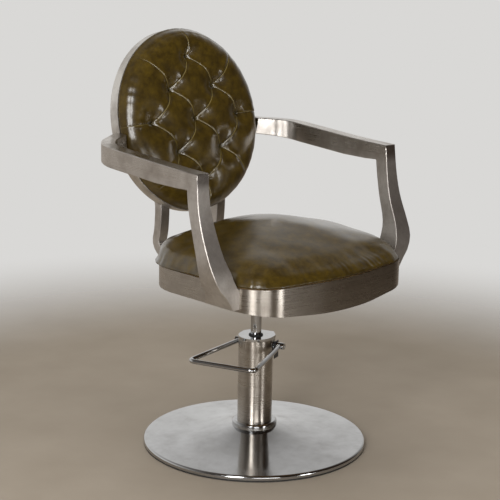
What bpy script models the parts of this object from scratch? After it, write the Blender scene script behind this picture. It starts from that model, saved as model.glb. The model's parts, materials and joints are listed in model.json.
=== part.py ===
"""Hydraulic salon chair: round tufted back, steel arms and seat band, chromed dish base.

Metres, +Z up. The chair faces -Y, and the origin is on the floor, on the pump's axis.
"""

import math

import bmesh
import bpy
from mathutils import Matrix, Vector

# Clearance between pieces that touch
GAP = 0.0003

# Base
BASE_RADIUS = 0.290
DISH_WALL = 0.002
RIM_HEIGHT = 0.0155
RIM_ROUND = 0.006
DISH_HEIGHT = 0.050
DISH_HOLE = 0.0475
EDGE_RING_HEIGHT = 0.004
EDGE_RING_WIDTH = 0.012
EDGE_RING_LIFT = 0.0005
BASE_PLATE_THICKNESS = 0.006
HUB_RADIUS = 0.062
HUB_HEIGHT = 0.030
BASE_BOLT_CIRCLE = 0.032
BASE_BOLT_SEAT = 0.010
BASE_BOLT_LENGTH = 0.030

# Pump
PEDAL_TURN = math.radians(-69.5)
COVER_RADIUS = 0.045
COVER_WALL = 0.0015
COVER_TOP = 0.283
FLANGE_RADIUS = 0.0585
FLANGE_HEIGHT = 0.013
FLANGE_BEVEL = 0.004
BODY_FOOT_HEIGHT = 0.016
CYLINDER_RADIUS = 0.0203
BORE_RADIUS = 0.0183
CAP_THICKNESS = 0.007
HEAD_RADIUS = 0.0455
HEAD_REAR = 0.0505
HEAD_REAR_HALF_WIDTH = 0.028
HEAD_CHAMFER_START = 0.023
HEAD_BLOCK_LOW = 0.246
HEAD_BLOCK_INSET = 0.0006
GLAND_RADIUS = 0.0185
GLAND_HEIGHT = 0.0025

# Pedal and plunger
PIVOT_BACK = 0.025
PIVOT_HEIGHT = 0.262
SHAFT_RADIUS = 0.0085
SHAFT_HALF_LENGTH = 0.070
BAR_RADIUS = 0.006
BAR_ARM_OFFSET = 0.0574
BAR_REACH = 0.225
BAR_HALF_WIDTH = 0.091
BAR_BEND = 0.014
BAR_TAIL = 0.013
CLAMP_SCREW_RADIUS = 0.0029
CLAMP_SCREW_SINK = 0.001
CAM_OFFSET = 0.0268
CAM_HUB_RADIUS = 0.0115
CAM_WIDTH = 0.012
CAM_REACH = 0.018
CAM_NOSE_RADIUS = 0.004
CAM_ROOM = 0.0008
PEDAL_SWING = math.radians(24)
PLUNGER_RADIUS = 0.0045
PLUNGER_LENGTH = 0.064
PLUNGER_CLEARANCE = 0.002
COLLAR_RADIUS = 0.0070
COLLAR_DROP = 0.007
COLLAR_HEIGHT = 0.003
BARREL_RADIUS = 0.0085
BARREL_TOP = 0.228
SPRING_RADIUS = 0.0058
SPRING_WIRE_RADIUS = 0.0007
SPRING_TURNS = 5
STOP_THICKNESS = 0.0025
STOP_HALF_WIDTH = 0.012
STOP_DROP = 0.033
STOP_RISE = 0.012

# Rod
ROD_RADIUS = 0.014
ROD_FOOT = 0.195
ROD_TAPER_LENGTH = 0.024
ROD_TAPER_NARROWING = 0.0015
PISTON_HEIGHT = 0.025
SPIGOT_RADIUS = 0.009

# Seat
SEAT_FRONT = 0.322
SEAT_FRONT_BOW = 0.044
SEAT_HALF_WIDTH = 0.277
SEAT_REAR = 0.140
FRONT_CORNER_RADIUS = 0.100
REAR_CORNER_RADIUS = 0.123
FRONT_BOW_RADIUS = 0.6
BAND_LOW = 0.448
BAND_HIGH = 0.505
BAND_DIP = 0.0205
BAND_WALL = 0.003
BOARD_THICKNESS = 0.015
RAIL_OFFSET = 0.075
RAIL_WIDTH = 0.030
RAIL_HEIGHT = 0.020
RAIL_WALL = 0.002
MOUNT_PLATE_SIDE = 0.190
MOUNT_PLATE_THICKNESS = 0.006
SOCKET_RADIUS = 0.024
SOCKET_HEIGHT = 0.020
PLATE_BOLT_LENGTH = 0.014
SEAT_PAD_INSET = 0.002
SEAT_PAD_OVERHANG = 0.014
SEAT_PAD_OVERHANG_START = -0.100
SEAT_PAD_TUCK = 0.005
SEAT_PAD_WIDEST = 0.010
SEAT_PAD_EDGE = 0.022
SEAT_PAD_ROLL = 0.025
SEAT_PAD_CROWN = 0.030
SEAT_PAD_CENTRE = -0.060
SEAT_PAD_REAR_FULLNESS = 1.00
SEAT_PAD_SIDE_FALL = 0.12

# Back, in its own leaning frame: depth is negative towards the sitter
BACK_CENTRE = (0.0, 0.300, 0.812)
BACK_LEAN = math.radians(13.4)
RING_HALF_WIDTH = 0.233
RING_HALF_HEIGHT = 0.240
RING_DEPTH = 0.030
RING_WALL = 0.003
BACK_BOARD_THICKNESS = 0.010
BACK_BOARD_INSET = 0.008
REAR_PAD_THICKNESS = 0.0072
BACK_PAD_BULGE = 0.058
TUFT_PITCH_ACROSS = 0.148
TUFT_PITCH_UP = 0.162
TUFT_DEPTH = 0.038
TUFT_SPREAD = 0.026
PLEAT_DEPTH = 0.010
PLEAT_SPREAD = 0.013
POST_WIDTH = 0.030
POST_DEPTH = 0.026
POST_OFFSET = 0.0995
POST_FOOT_RISE = 0.022
POST_LAP = 0.007
# Drops down the back, from its centre: to the post's top, the middle of its straight run,
# where it turns upright, and its screw
POST_TOP_DROP = 0.140
POST_RUN_DROP = 0.185
POST_TURN_DROP = 0.2165
POST_SCREW_DROP = 0.1625
# Back post below its turn: share of the drop to its foot, share of the way forward to the
# seat band
BACK_POST_STATIONS = (
    (0.46, -0.03),
    (0.73, -0.08),
    (0.92, 0.10),
    (1.00, 0.40),
    (1.00, 1.27),
)

# Arms
ARM_SEAT_CLEARANCE = 0.033
ARM_FRONT = 0.151
ARM_HEIGHT = 0.773
ARM_RISE = 0.036
ARM_BEND_BACK = 0.218
ARM_BEND_RADIUS = 0.080
ARM_END_OFFSET = 0.205
ARM_END_BACK = 0.275
ARM_BAR_WIDTH = 0.036
ARM_RAIL_THICKNESS = 0.041
ARM_RAIL_SWELL = 0.010
ARM_POST_REACH = 0.070
ARM_FOOT_DEPTH = 0.100
ARM_FOOT_PROUD = 0.015
ARM_FOOT_LIFT = 0.005
BAR_EDGE_BEVEL = 0.0015
# Front post, top to foot: shares of the drop, of the step in to the seat band, of the
# bar's width, of the reach forward of the rail's end, of the foot's depth
ARM_POST_STATIONS = (
    (0.00, 0.00, 1.00, 0.00, 0.38),
    (0.22, -0.06, 1.08, 0.10, 0.37),
    (0.41, -0.08, 1.22, 0.31, 0.37),
    (0.60, -0.11, 1.36, 0.67, 0.44),
    (0.72, -0.04, 1.55, 0.90, 0.55),
    (0.82, 0.20, 1.50, 0.97, 0.63),
    (0.88, 0.52, 1.54, 1.00, 0.73),
    (1.00, 1.00, 1.11, 0.99, 1.00),
)

# Fasteners
BOLT_RADIUS = 0.004
BOLT_HEAD_RADIUS = 0.0068
BOLT_HEAD_HEIGHT = 0.006
FRAME_BOLT_LENGTH = 0.010
ARM_BOLT_FORWARD = 0.170
ARM_BOLT_HEIGHTS = (0.4565, 0.4765)

# Facets
ROUND_STEPS = 28
DISH_STEPS = 64
BOLT_STEPS = 10
PAD_POINTS = 48
OVAL_POINTS = 56
REAR_PAD_SHARES = (0.98, 0.90, 0.70, 0.40)
PATH_STEPS = 3
ARM_POST_RINGS = 18

# Finishes: colour, roughness, metallic
CHROME = ((0.78, 0.78, 0.79), 0.10, 1.0)
BRUSHED_STEEL = ((0.52, 0.49, 0.45), 0.34, 1.0)
PLAIN_STEEL = ((0.38, 0.38, 0.39), 0.45, 1.0)
BLACK_STEEL = ((0.02, 0.02, 0.02), 0.50, 0.0)
CAST_IRON = ((0.06, 0.06, 0.06), 0.70, 0.0)
RUBBER = ((0.015, 0.015, 0.015), 0.80, 0.0)
PLYWOOD = ((0.45, 0.30, 0.16), 0.65, 0.0)
OLIVE_LEATHER = ((0.085, 0.065, 0.015), 0.38, 0.0)

# Places worked out from the sizes above
BOARD_LOW = BAND_HIGH - BOARD_THICKNESS
RAIL_LOW = BOARD_LOW - GAP - RAIL_HEIGHT
PLATE_HIGH = RAIL_LOW - GAP
PLATE_LOW = PLATE_HIGH - MOUNT_PLATE_THICKNESS
SOCKET_LOW = PLATE_LOW - SOCKET_HEIGHT
ROD_TOP = SOCKET_LOW + ROD_TAPER_LENGTH
BODY_LOW = HUB_HEIGHT + GAP
HEAD_TOP = COVER_TOP + GAP + CAP_THICKNESS
COVER_INNER = COVER_RADIUS - COVER_WALL
PLUNGER_BACK = PIVOT_BACK - CAM_REACH
PLUNGER_TOP = PIVOT_HEIGHT - CAM_NOSE_RADIUS - GAP
PLUNGER_STROKE = CAM_REACH * math.sin(PEDAL_SWING)
PLUNGER_FOOT = PLUNGER_TOP - PLUNGER_LENGTH
COLLAR_LOW = PLUNGER_TOP - COLLAR_DROP - COLLAR_HEIGHT
HOLE_RADIUS = BOLT_RADIUS + GAP
HEAD_HOLE_RADIUS = BOLT_HEAD_RADIUS + 3 * GAP
BACK_PAD_REAR = -BACK_BOARD_INSET - BACK_BOARD_THICKNESS - GAP
RING_INNER_CLEAR = RING_WALL + GAP
POST_FOOT_HEIGHT = BAND_LOW + POST_FOOT_RISE
BACK_PLACE = Matrix.Translation(BACK_CENTRE) @ Matrix.Rotation(-BACK_LEAN, 4, "X")
ARM_HALF_SPAN = SEAT_HALF_WIDTH + ARM_SEAT_CLEARANCE + ARM_BAR_WIDTH / 2


def new_collection(name):
    group = bpy.data.collections.new(name)
    bpy.context.scene.collection.children.link(group)
    return group


def add_frame(name, location, rotation, parent=None):
    frame = bpy.data.objects.new(name, None)
    frame.location = location
    frame.rotation_euler = rotation
    frame.parent = parent
    PARTS.objects.link(frame)
    return frame


for old in list(bpy.data.objects):
    bpy.data.objects.remove(old)
PARTS = new_collection("salon_chair")
CUTTERS = new_collection("cutters")
PUMP_FRAME = add_frame("pump_frame", (0, 0, 0), (0, 0, PEDAL_TURN))
PEDAL_FRAME = add_frame("pedal_frame", (0, PIVOT_BACK, PIVOT_HEIGHT), (0, 0, 0), PUMP_FRAME)
BACK_FRAME = add_frame("back_frame", BACK_CENTRE, (-BACK_LEAN, 0, 0))


def finish_material(name, finish):
    colour, roughness, metallic = finish
    material = bpy.data.materials.new(name)
    material.use_nodes = True
    shader = material.node_tree.nodes["Principled BSDF"]
    shader.inputs["Base Color"].default_value = (*colour, 1.0)
    shader.inputs["Roughness"].default_value = roughness
    shader.inputs["Metallic"].default_value = metallic
    material.diffuse_color = (*colour, 1.0)
    return material


def add_part(name, data, finish, parent=None):
    part = bpy.data.objects.new(name, data)
    data.materials.append(finish_material(name, finish))
    part.parent = parent
    PARTS.objects.link(part)
    return part


def add_cutter(name, mesh, parent=None, place=Matrix.Identity(4)):
    cutter = bpy.data.objects.new(name, mesh)
    cutter.parent = parent
    cutter.matrix_local = place
    cutter.hide_render = True
    cutter.display_type = "WIRE"
    CUTTERS.objects.link(cutter)
    return cutter


def shape_with(part, other, operation="DIFFERENCE"):
    change = part.modifiers.new(other.name, "BOOLEAN")
    change.operation = operation
    change.object = other
    change.solver = "EXACT"


def mesh_from(bm, name):
    mesh = bpy.data.meshes.new(name)
    bm.to_mesh(mesh)
    bm.free()
    mesh.shade_smooth()
    mesh.set_sharp_from_angle(angle=math.radians(35))
    return mesh


# Turned pieces: a profile of (radius, height) runs down the outer side and back up the inner one
def turned(name, profile, finish, steps=ROUND_STEPS, parent=None):
    bm = bmesh.new()
    points = [bm.verts.new((radius, 0, height)) for radius, height in profile]
    for first, second in zip(points, points[1:]):
        bm.edges.new((first, second))
    if profile[0][0] > 0:
        bm.edges.new((points[-1], points[0]))
    part = add_part(name, mesh_from(bm, name), finish, parent)
    screw = part.modifiers.new("Turn", "SCREW")
    screw.steps = steps
    screw.render_steps = steps
    screw.use_merge_vertices = True
    screw.merge_threshold = 0.00001
    return part


def tube_profile(outer, inner, low, high):
    return [(outer, high), (outer, low), (inner, low), (inner, high)]


# Plain solids, for pieces and for cutters
def cylinder_mesh(name, radius, length, steps=ROUND_STEPS, top_radius=None):
    bm = bmesh.new()
    upper = radius if top_radius is None else top_radius
    bmesh.ops.create_cone(
        bm, cap_ends=True, segments=steps, radius1=radius, radius2=upper, depth=length
    )
    return mesh_from(bm, name)


def box_mesh(name, low, high):
    bm = bmesh.new()
    bmesh.ops.create_cube(bm, size=1)
    bmesh.ops.scale(bm, verts=bm.verts, vec=Vector(high) - Vector(low))
    bmesh.ops.translate(bm, verts=bm.verts, vec=(Vector(high) + Vector(low)) / 2)
    return mesh_from(bm, name)


def prism_mesh(name, outline, low, high):
    """A flat outline raised from low to high."""
    bm = bmesh.new()
    face = bm.faces.new([bm.verts.new((point[0], point[1], low)) for point in outline])
    raised = bmesh.ops.extrude_face_region(bm, geom=[face])["geom"]
    corners = [item for item in raised if isinstance(item, bmesh.types.BMVert)]
    bmesh.ops.translate(bm, verts=corners, vec=(0, 0, high - low))
    bmesh.ops.recalc_face_normals(bm, faces=bm.faces)
    return mesh_from(bm, name)


def loft_mesh(name, rings, crown=None):
    """A skin over rings of points, closed by a flat end and by another or a crown point."""
    bm = bmesh.new()
    loops = [[bm.verts.new(point) for point in ring] for ring in rings]
    for lower, upper in zip(loops, loops[1:]):
        for i, corner in enumerate(lower):
            bm.faces.new((lower[i - 1], corner, upper[i], upper[i - 1]))
    bm.faces.new(loops[0])
    if crown is None:
        bm.faces.new(loops[-1])
    else:
        tip = bm.verts.new(crown)
        for i, corner in enumerate(loops[-1]):
            bm.faces.new((loops[-1][i - 1], corner, tip))
    bmesh.ops.recalc_face_normals(bm, faces=bm.faces)
    return mesh_from(bm, name)


def drill(part, name, place, radius, length, parent=None, steps=BOLT_STEPS):
    """A round hole, centred on its place and running along that place's Z."""
    shape_with(part, add_cutter(name, cylinder_mesh(name, radius, length, steps), parent, place))


def cap_screw(name, place, length):
    """A round-headed screw: its head seats at its origin and the shank runs along +Z."""
    profile = [
        (0, length),
        (BOLT_RADIUS, length),
        (BOLT_RADIUS, 0),
        (BOLT_HEAD_RADIUS, 0),
        (BOLT_HEAD_RADIUS, -BOLT_HEAD_HEIGHT),
        (0, -BOLT_HEAD_HEIGHT),
    ]
    turned(name, profile, PLAIN_STEEL, BOLT_STEPS).matrix_local = place


# Outlines and paths
def corner_arc(before, corner, after, radius, steps):
    """The arc that rounds a corner, as points from the first run to the second."""
    back = (before - corner).normalized()
    ahead = (after - corner).normalized()
    half_angle = back.angle(ahead) / 2
    centre = corner + (back + ahead).normalized() * radius / math.sin(half_angle)
    start = corner + back * radius / math.tan(half_angle) - centre
    end = corner + ahead * radius / math.tan(half_angle) - centre
    sweep = math.pi - 2 * half_angle
    shares = [k / steps for k in range(steps + 1)]
    return [
        centre + (start * math.sin((1 - t) * sweep) + end * math.sin(t * sweep)) / math.sin(sweep)
        for t in shares
    ]


def rounded_outline(corners, steps=7):
    """A closed outline of straight runs and arcs, from corners as (x, y, radius)."""
    spots = [Vector((x, y)) for x, y, _ in corners]
    outline = []
    for i, (_, _, radius) in enumerate(corners):
        outline += corner_arc(spots[i - 1], spots[i], spots[(i + 1) % len(spots)], radius, steps)
    return outline


def offset_outline(outline, distance):
    moved = []
    for i, point in enumerate(outline):
        along = outline[(i + 1) % len(outline)] - outline[i - 1]
        moved.append(point + Vector((along.y, -along.x)).normalized() * distance)
    return moved


def evenly_spaced(outline, count):
    """The same closed outline with evenly spaced points."""
    closed = outline + outline[:1]
    lengths = [(b - a).length for a, b in zip(closed, closed[1:])]
    spaced = []
    passed = 0.0
    piece = 0
    for k in range(count):
        wanted = sum(lengths) * k / count
        while passed + lengths[piece] < wanted:
            passed += lengths[piece]
            piece += 1
        share = (wanted - passed) / lengths[piece]
        spaced.append(closed[piece].lerp(closed[piece + 1], share))
    return spaced


def oval(half_width, half_height):
    turns = [2 * math.pi * k / OVAL_POINTS for k in range(OVAL_POINTS)]
    return [(half_width * math.cos(t), half_height * math.sin(t)) for t in turns]


def through(points, steps=PATH_STEPS):
    """A smooth curve through the points, which may have any number of columns."""
    known = [Vector(p) for p in points]
    known = [2 * known[0] - known[1]] + known + [2 * known[-1] - known[-2]]
    curve = []
    for a, b, c, d in zip(known, known[1:], known[2:], known[3:]):
        for k in range(steps):
            t = k / steps
            slope = (c - a) / 2
            bend = a - 2.5 * b + 2 * c - d / 2
            twist = 1.5 * (b - c) + (d - a) / 2
            curve.append(b + slope * t + bend * t**2 + twist * t**3)
    return curve + [known[-2]]


def seat_outline():
    left = [
        (SEAT_HALF_WIDTH, SEAT_FRONT_BOW - SEAT_FRONT, FRONT_CORNER_RADIUS),
        (SEAT_HALF_WIDTH, SEAT_REAR, REAR_CORNER_RADIUS),
    ]
    right = [(-x, y, radius) for x, y, radius in reversed(left)]
    return rounded_outline([(0, -SEAT_FRONT, FRONT_BOW_RADIUS)] + left + right)


def oval_prism(name, half_width, half_height, front, rear):
    """An oval solid in the back's frame, from a front depth to a rear depth."""
    mesh = prism_mesh(name, oval(half_width, half_height), -rear, -front)
    mesh.transform(Matrix.Rotation(math.pi / 2, 4, "X"))
    return mesh


SEAT_PLAN = seat_outline()
SEAT_INNER_PLAN = offset_outline(SEAT_PLAN, -BAND_WALL - GAP)
SEAT_VOLUME = add_cutter(
    "seat_volume",
    prism_mesh("seat_volume", offset_outline(SEAT_PLAN, GAP), BAND_LOW - BAND_DIP, BAND_HIGH),
)
SEAT_INSIDE = add_cutter(
    "seat_inside", prism_mesh("seat_inside", SEAT_INNER_PLAN, BAND_LOW, BAND_HIGH)
)
RING_VOLUME = add_cutter(
    "ring_volume",
    oval_prism(
        "ring_volume",
        RING_HALF_WIDTH + GAP,
        RING_HALF_HEIGHT + GAP,
        -3 * RING_DEPTH,
        2 * RING_DEPTH,
    ),
    BACK_FRAME,
)
POST_NOTCH = add_cutter(
    "post_notch",
    oval_prism(
        "post_notch", RING_HALF_WIDTH + GAP, RING_HALF_HEIGHT + GAP, -3 * RING_DEPTH, GAP
    ),
    BACK_FRAME,
)


# Base
def dish_height(radius):
    """The dish's upper surface: nearly flat at the rim, steeper towards the pump."""
    flat_radius = BASE_RADIUS - RIM_ROUND
    share = (flat_radius - radius) / (flat_radius - DISH_HOLE)
    return RIM_HEIGHT + (DISH_HEIGHT - RIM_HEIGHT) * (0.55 * share + 0.45 * share**3)


def make_dish():
    span = BASE_RADIUS - RIM_ROUND - DISH_HOLE
    radii = [DISH_HOLE + span * k / 8 for k in range(9)]
    top = [(radius, dish_height(radius)) for radius in radii]
    turns = [math.radians(angle) for angle in (30, 60, 90)]
    roll = [
        (
            BASE_RADIUS - RIM_ROUND + RIM_ROUND * math.sin(turn),
            RIM_HEIGHT - RIM_ROUND * (1 - math.cos(turn)),
        )
        for turn in turns
    ]
    low = EDGE_RING_LIFT + EDGE_RING_HEIGHT + GAP
    inner = BASE_RADIUS - DISH_WALL
    skirt = [(BASE_RADIUS, low), (inner, low), (inner, RIM_HEIGHT - RIM_ROUND)]
    under = [(radius, height - DISH_WALL) for radius, height in reversed(top)]
    turned("base_dish", top + roll + skirt + under, CHROME, DISH_STEPS)


def make_base_plate():
    ring_outer = BASE_RADIUS - DISH_WALL / 4
    ring_inner = ring_outer - EDGE_RING_WIDTH
    ring_high = EDGE_RING_LIFT + EDGE_RING_HEIGHT
    ring = tube_profile(ring_outer, ring_inner, EDGE_RING_LIFT, ring_high)
    turned("edge_ring", ring, RUBBER, DISH_STEPS)
    plate_radius = ring_inner - GAP
    profile = [
        (0, HUB_HEIGHT),
        (HUB_RADIUS, HUB_HEIGHT),
        (HUB_RADIUS, BASE_PLATE_THICKNESS),
        (plate_radius, BASE_PLATE_THICKNESS),
        (plate_radius, 0),
        (0, 0),
    ]
    return turned("base_plate", profile, CAST_IRON, DISH_STEPS)


def make_flange():
    high = DISH_HEIGHT + FLANGE_HEIGHT
    fit = COVER_RADIUS + GAP
    profile = [
        (fit, high),
        (FLANGE_RADIUS - FLANGE_BEVEL, high),
        (FLANGE_RADIUS, high - FLANGE_BEVEL),
        (FLANGE_RADIUS, dish_height(FLANGE_RADIUS) + GAP),
        (DISH_HOLE, DISH_HEIGHT + GAP),
        (fit, DISH_HEIGHT + GAP),
    ]
    turned("pump_flange", profile, CHROME, DISH_STEPS)


def make_base_bolts(plate, body):
    for k in range(4):
        spin = Matrix.Rotation(math.pi / 4 + k * math.pi / 2, 4, "Z")
        on_circle = spin @ Matrix.Translation((BASE_BOLT_CIRCLE, 0, 0))
        seat = on_circle @ Matrix.Translation((0, 0, BASE_BOLT_SEAT))
        cap_screw(f"base_bolt_{k + 1}", seat @ Matrix.Translation((0, 0, -GAP)), BASE_BOLT_LENGTH)
        length = 2 * (BASE_BOLT_LENGTH + GAP)
        drill(plate, f"plate_bolt_hole_{k + 1}", seat, HOLE_RADIUS, length)
        drill(body, f"body_bolt_hole_{k + 1}", seat, HOLE_RADIUS, length)
        drill(plate, f"plate_bolt_seat_{k + 1}", on_circle, HEAD_HOLE_RADIUS, 2 * BASE_BOLT_SEAT)


# Pump
def make_pump_body():
    """The casting: a foot, the main bore and beside it the plunger's barrel."""
    foot_high = BODY_LOW + BODY_FOOT_HEIGHT
    high = HEAD_BLOCK_LOW - GAP
    foot_radius = COVER_INNER - GAP
    profile = [
        (0, foot_high),
        (BORE_RADIUS, foot_high),
        (BORE_RADIUS, high),
        (CYLINDER_RADIUS, high),
        (CYLINDER_RADIUS, foot_high),
        (foot_radius, foot_high),
        (foot_radius, BODY_LOW),
        (0, BODY_LOW),
    ]
    body = turned("pump_body", profile, CAST_IRON, parent=PUMP_FRAME)
    barrel_low = BODY_LOW + BODY_FOOT_HEIGHT / 2
    middle = Matrix.Translation((CAM_OFFSET, PLUNGER_BACK, (barrel_low + BARREL_TOP) / 2))
    barrel = cylinder_mesh("plunger_barrel", BARREL_RADIUS, BARREL_TOP - barrel_low, BOLT_STEPS * 2)
    shape_with(body, add_cutter("plunger_barrel", barrel, PUMP_FRAME, middle), "UNION")
    mouth = Matrix.Translation((CAM_OFFSET, PLUNGER_BACK, BARREL_TOP))
    depth = BARREL_TOP - PLUNGER_FOOT + PLUNGER_STROKE + PLUNGER_CLEARANCE
    drill(body, "plunger_bore", mouth, PLUNGER_RADIUS + GAP, 2 * depth, PUMP_FRAME, BOLT_STEPS * 2)
    return body


def rear_corners(inset):
    """The head's flat sides and chamfered rear, seen from above."""
    return [
        (HEAD_RADIUS - inset, HEAD_CHAMFER_START),
        (HEAD_REAR_HALF_WIDTH - inset, HEAD_REAR - inset),
        (inset - HEAD_REAR_HALF_WIDTH, HEAD_REAR - inset),
        (inset - HEAD_RADIUS, HEAD_CHAMFER_START),
    ]


def make_pump_cover():
    profile = tube_profile(COVER_RADIUS, COVER_INNER, BODY_LOW, COVER_TOP)
    cover = turned("pump_cover", profile, BRUSHED_STEEL, DISH_STEPS, PUMP_FRAME)
    low = (-2 * HEAD_RADIUS, -GAP, HEAD_BLOCK_LOW - GAP)
    high = (2 * HEAD_RADIUS, 2 * HEAD_RADIUS, COVER_TOP + CAP_THICKNESS)
    shape_with(cover, add_cutter("cover_notch", box_mesh("cover_notch", low, high), PUMP_FRAME))


def make_pump_head():
    """The cap, the block behind it that carries the pivot, and a guide round the rod."""
    turns = [math.pi + math.pi * k / ROUND_STEPS for k in range(ROUND_STEPS + 1)]
    front = [(HEAD_RADIUS * math.cos(t), HEAD_RADIUS * math.sin(t)) for t in turns]
    mesh = prism_mesh("pump_head", front + rear_corners(0), COVER_TOP + GAP, HEAD_TOP)
    head = add_part("pump_head", mesh, CHROME, PUMP_FRAME)
    side = HEAD_RADIUS - HEAD_BLOCK_INSET
    block = [(-side, 0), (side, 0)] + rear_corners(HEAD_BLOCK_INSET)
    into_cap = COVER_TOP + CAP_THICKNESS / 2
    block_mesh = prism_mesh("head_block", block, HEAD_BLOCK_LOW, into_cap)
    shape_with(head, add_cutter("head_block", block_mesh, PUMP_FRAME), "UNION")
    guide_height = into_cap - HEAD_BLOCK_LOW
    guide = cylinder_mesh("rod_guide", CYLINDER_RADIUS, guide_height)
    guide_place = Matrix.Translation((0, 0, HEAD_BLOCK_LOW + GAP + guide_height / 2))
    shape_with(head, add_cutter("rod_guide", guide, PUMP_FRAME, guide_place), "UNION")
    half_room = max(CAM_WIDTH / 2, COLLAR_RADIUS) + CAM_ROOM
    pocket_low = (CAM_OFFSET - half_room, PLUNGER_BACK - half_room, HEAD_BLOCK_LOW - CAP_THICKNESS)
    pocket_high = (
        CAM_OFFSET + half_room,
        PIVOT_BACK + CAM_HUB_RADIUS + CAM_ROOM,
        PIVOT_HEIGHT + CAM_HUB_RADIUS + CAM_ROOM,
    )
    pocket = box_mesh("cam_pocket", pocket_low, pocket_high)
    shape_with(head, add_cutter("cam_pocket", pocket, PUMP_FRAME))
    drill(head, "rod_bore", Matrix.Translation((0, 0, HEAD_TOP)), ROD_RADIUS + GAP, HEAD_TOP,
          PUMP_FRAME, ROUND_STEPS)
    along_shaft = Matrix.Rotation(math.pi / 2, 4, "Y")
    drill(head, "shaft_bore", along_shaft, SHAFT_RADIUS + GAP, 4 * HEAD_RADIUS, PEDAL_FRAME, ROUND_STEPS)
    gland_low = HEAD_TOP + GAP
    gland = tube_profile(GLAND_RADIUS, ROD_RADIUS + GAP, gland_low, gland_low + GLAND_HEIGHT)
    turned("rod_gland", gland, RUBBER)
    make_stop_plate()


def make_stop_plate():
    inner = HEAD_RADIUS + GAP
    low = (inner, -STOP_HALF_WIDTH, -STOP_DROP)
    high = (inner + STOP_THICKNESS, STOP_HALF_WIDTH, STOP_RISE)
    plate = add_part("stop_plate", box_mesh("stop_plate", low, high), BLACK_STEEL, PEDAL_FRAME)
    along_shaft = Matrix.Rotation(math.pi / 2, 4, "Y")
    drill(plate, "stop_hole", along_shaft, SHAFT_RADIUS + GAP, 4 * HEAD_RADIUS, PEDAL_FRAME, ROUND_STEPS)


# Pedal: the frame's origin is on the pivot's axis, which runs along X
def tube_along(name, points, radius, finish, parent, sides=3):
    curve = bpy.data.curves.new(name, "CURVE")
    curve.dimensions = "3D"
    spline = curve.splines.new("POLY")
    spline.points.add(len(points) - 1)
    for spot, point in zip(spline.points, points):
        spot.co = (*point, 1.0)
    curve.bevel_depth = radius
    curve.bevel_resolution = sides
    curve.use_fill_caps = True
    return add_part(name, curve, finish, parent)


def make_pedal():
    shaft_mesh = cylinder_mesh("pivot_shaft", SHAFT_RADIUS, 2 * SHAFT_HALF_LENGTH)
    along_shaft = Matrix.Rotation(math.pi / 2, 4, "Y")
    shaft_mesh.transform(along_shaft)
    shaft = add_part("pivot_shaft", shaft_mesh, CHROME, PEDAL_FRAME)
    corners = [Vector((side * BAR_HALF_WIDTH, -BAR_REACH, 0)) for side in (1, -1)]
    roots = [Vector((side * BAR_ARM_OFFSET, 0, 0)) for side in (1, -1)]
    tails = []
    for side, label, root, corner in zip((1, -1), ("near", "far"), roots, corners):
        arm = (corner - root).normalized()
        tails.append(root - arm * BAR_TAIL)
        across = Matrix.Translation(root) @ arm.to_track_quat("Z", "Y").to_matrix().to_4x4()
        drill(shaft, f"arm_hole_{label}", across, BAR_RADIUS + GAP, 4 * SHAFT_RADIUS, PEDAL_FRAME,
              ROUND_STEPS)
        bar_face = BAR_ARM_OFFSET + (BAR_RADIUS + CLAMP_SCREW_RADIUS * abs(arm.x)) / -arm.y
        end = SHAFT_HALF_LENGTH
        hole = Matrix.Translation((side * end, 0, 0)) @ along_shaft
        drill(shaft, f"clamp_hole_{label}", hole, CLAMP_SCREW_RADIUS + GAP, 2 * (end - BAR_ARM_OFFSET),
              PEDAL_FRAME)
        length = end - CLAMP_SCREW_SINK - bar_face - GAP
        screw = cylinder_mesh(f"clamp_screw_{label}", CLAMP_SCREW_RADIUS, length, BOLT_STEPS)
        middle = side * (bar_face + GAP + length / 2)
        screw.transform(Matrix.Translation((middle, 0, 0)) @ along_shaft)
        add_part(f"clamp_screw_{label}", screw, PLAIN_STEEL, PEDAL_FRAME)
    path = [tails[0]]
    path += corner_arc(roots[0], corners[0], corners[1], BAR_BEND, 6)
    path += corner_arc(corners[0], corners[1], roots[1], BAR_BEND, 6)
    tube_along("foot_bar", path + [tails[1]], BAR_RADIUS, CHROME, PEDAL_FRAME)


def make_cam():
    """A hub on the shaft with a round-nosed finger that bears on the plunger."""
    root = math.asin(CAM_NOSE_RADIUS / CAM_HUB_RADIUS)
    nose_turns = [math.pi * (k / 8 - 0.5) for k in range(9)]
    hub_turns = [root + (2 * math.pi - 2 * root) * k / 20 for k in range(21)]
    nose = [(CAM_REACH + CAM_NOSE_RADIUS * math.cos(t), CAM_NOSE_RADIUS * math.sin(t)) for t in nose_turns]
    hub = [(CAM_HUB_RADIUS * math.cos(t), CAM_HUB_RADIUS * math.sin(t)) for t in hub_turns]
    mesh = prism_mesh("plunger_cam", nose + hub, -CAM_WIDTH / 2, CAM_WIDTH / 2)
    along_shaft = Matrix.Rotation(math.pi / 2, 4, "Y")
    forward = Matrix.Rotation(-math.pi / 2, 4, "Z")
    mesh.transform(Matrix.Translation((CAM_OFFSET, 0, 0)) @ along_shaft @ forward)
    cam = add_part("plunger_cam", mesh, PLAIN_STEEL, PEDAL_FRAME)
    drill(cam, "cam_bore", along_shaft, SHAFT_RADIUS + GAP, 4 * HEAD_RADIUS, PEDAL_FRAME, ROUND_STEPS)


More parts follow.
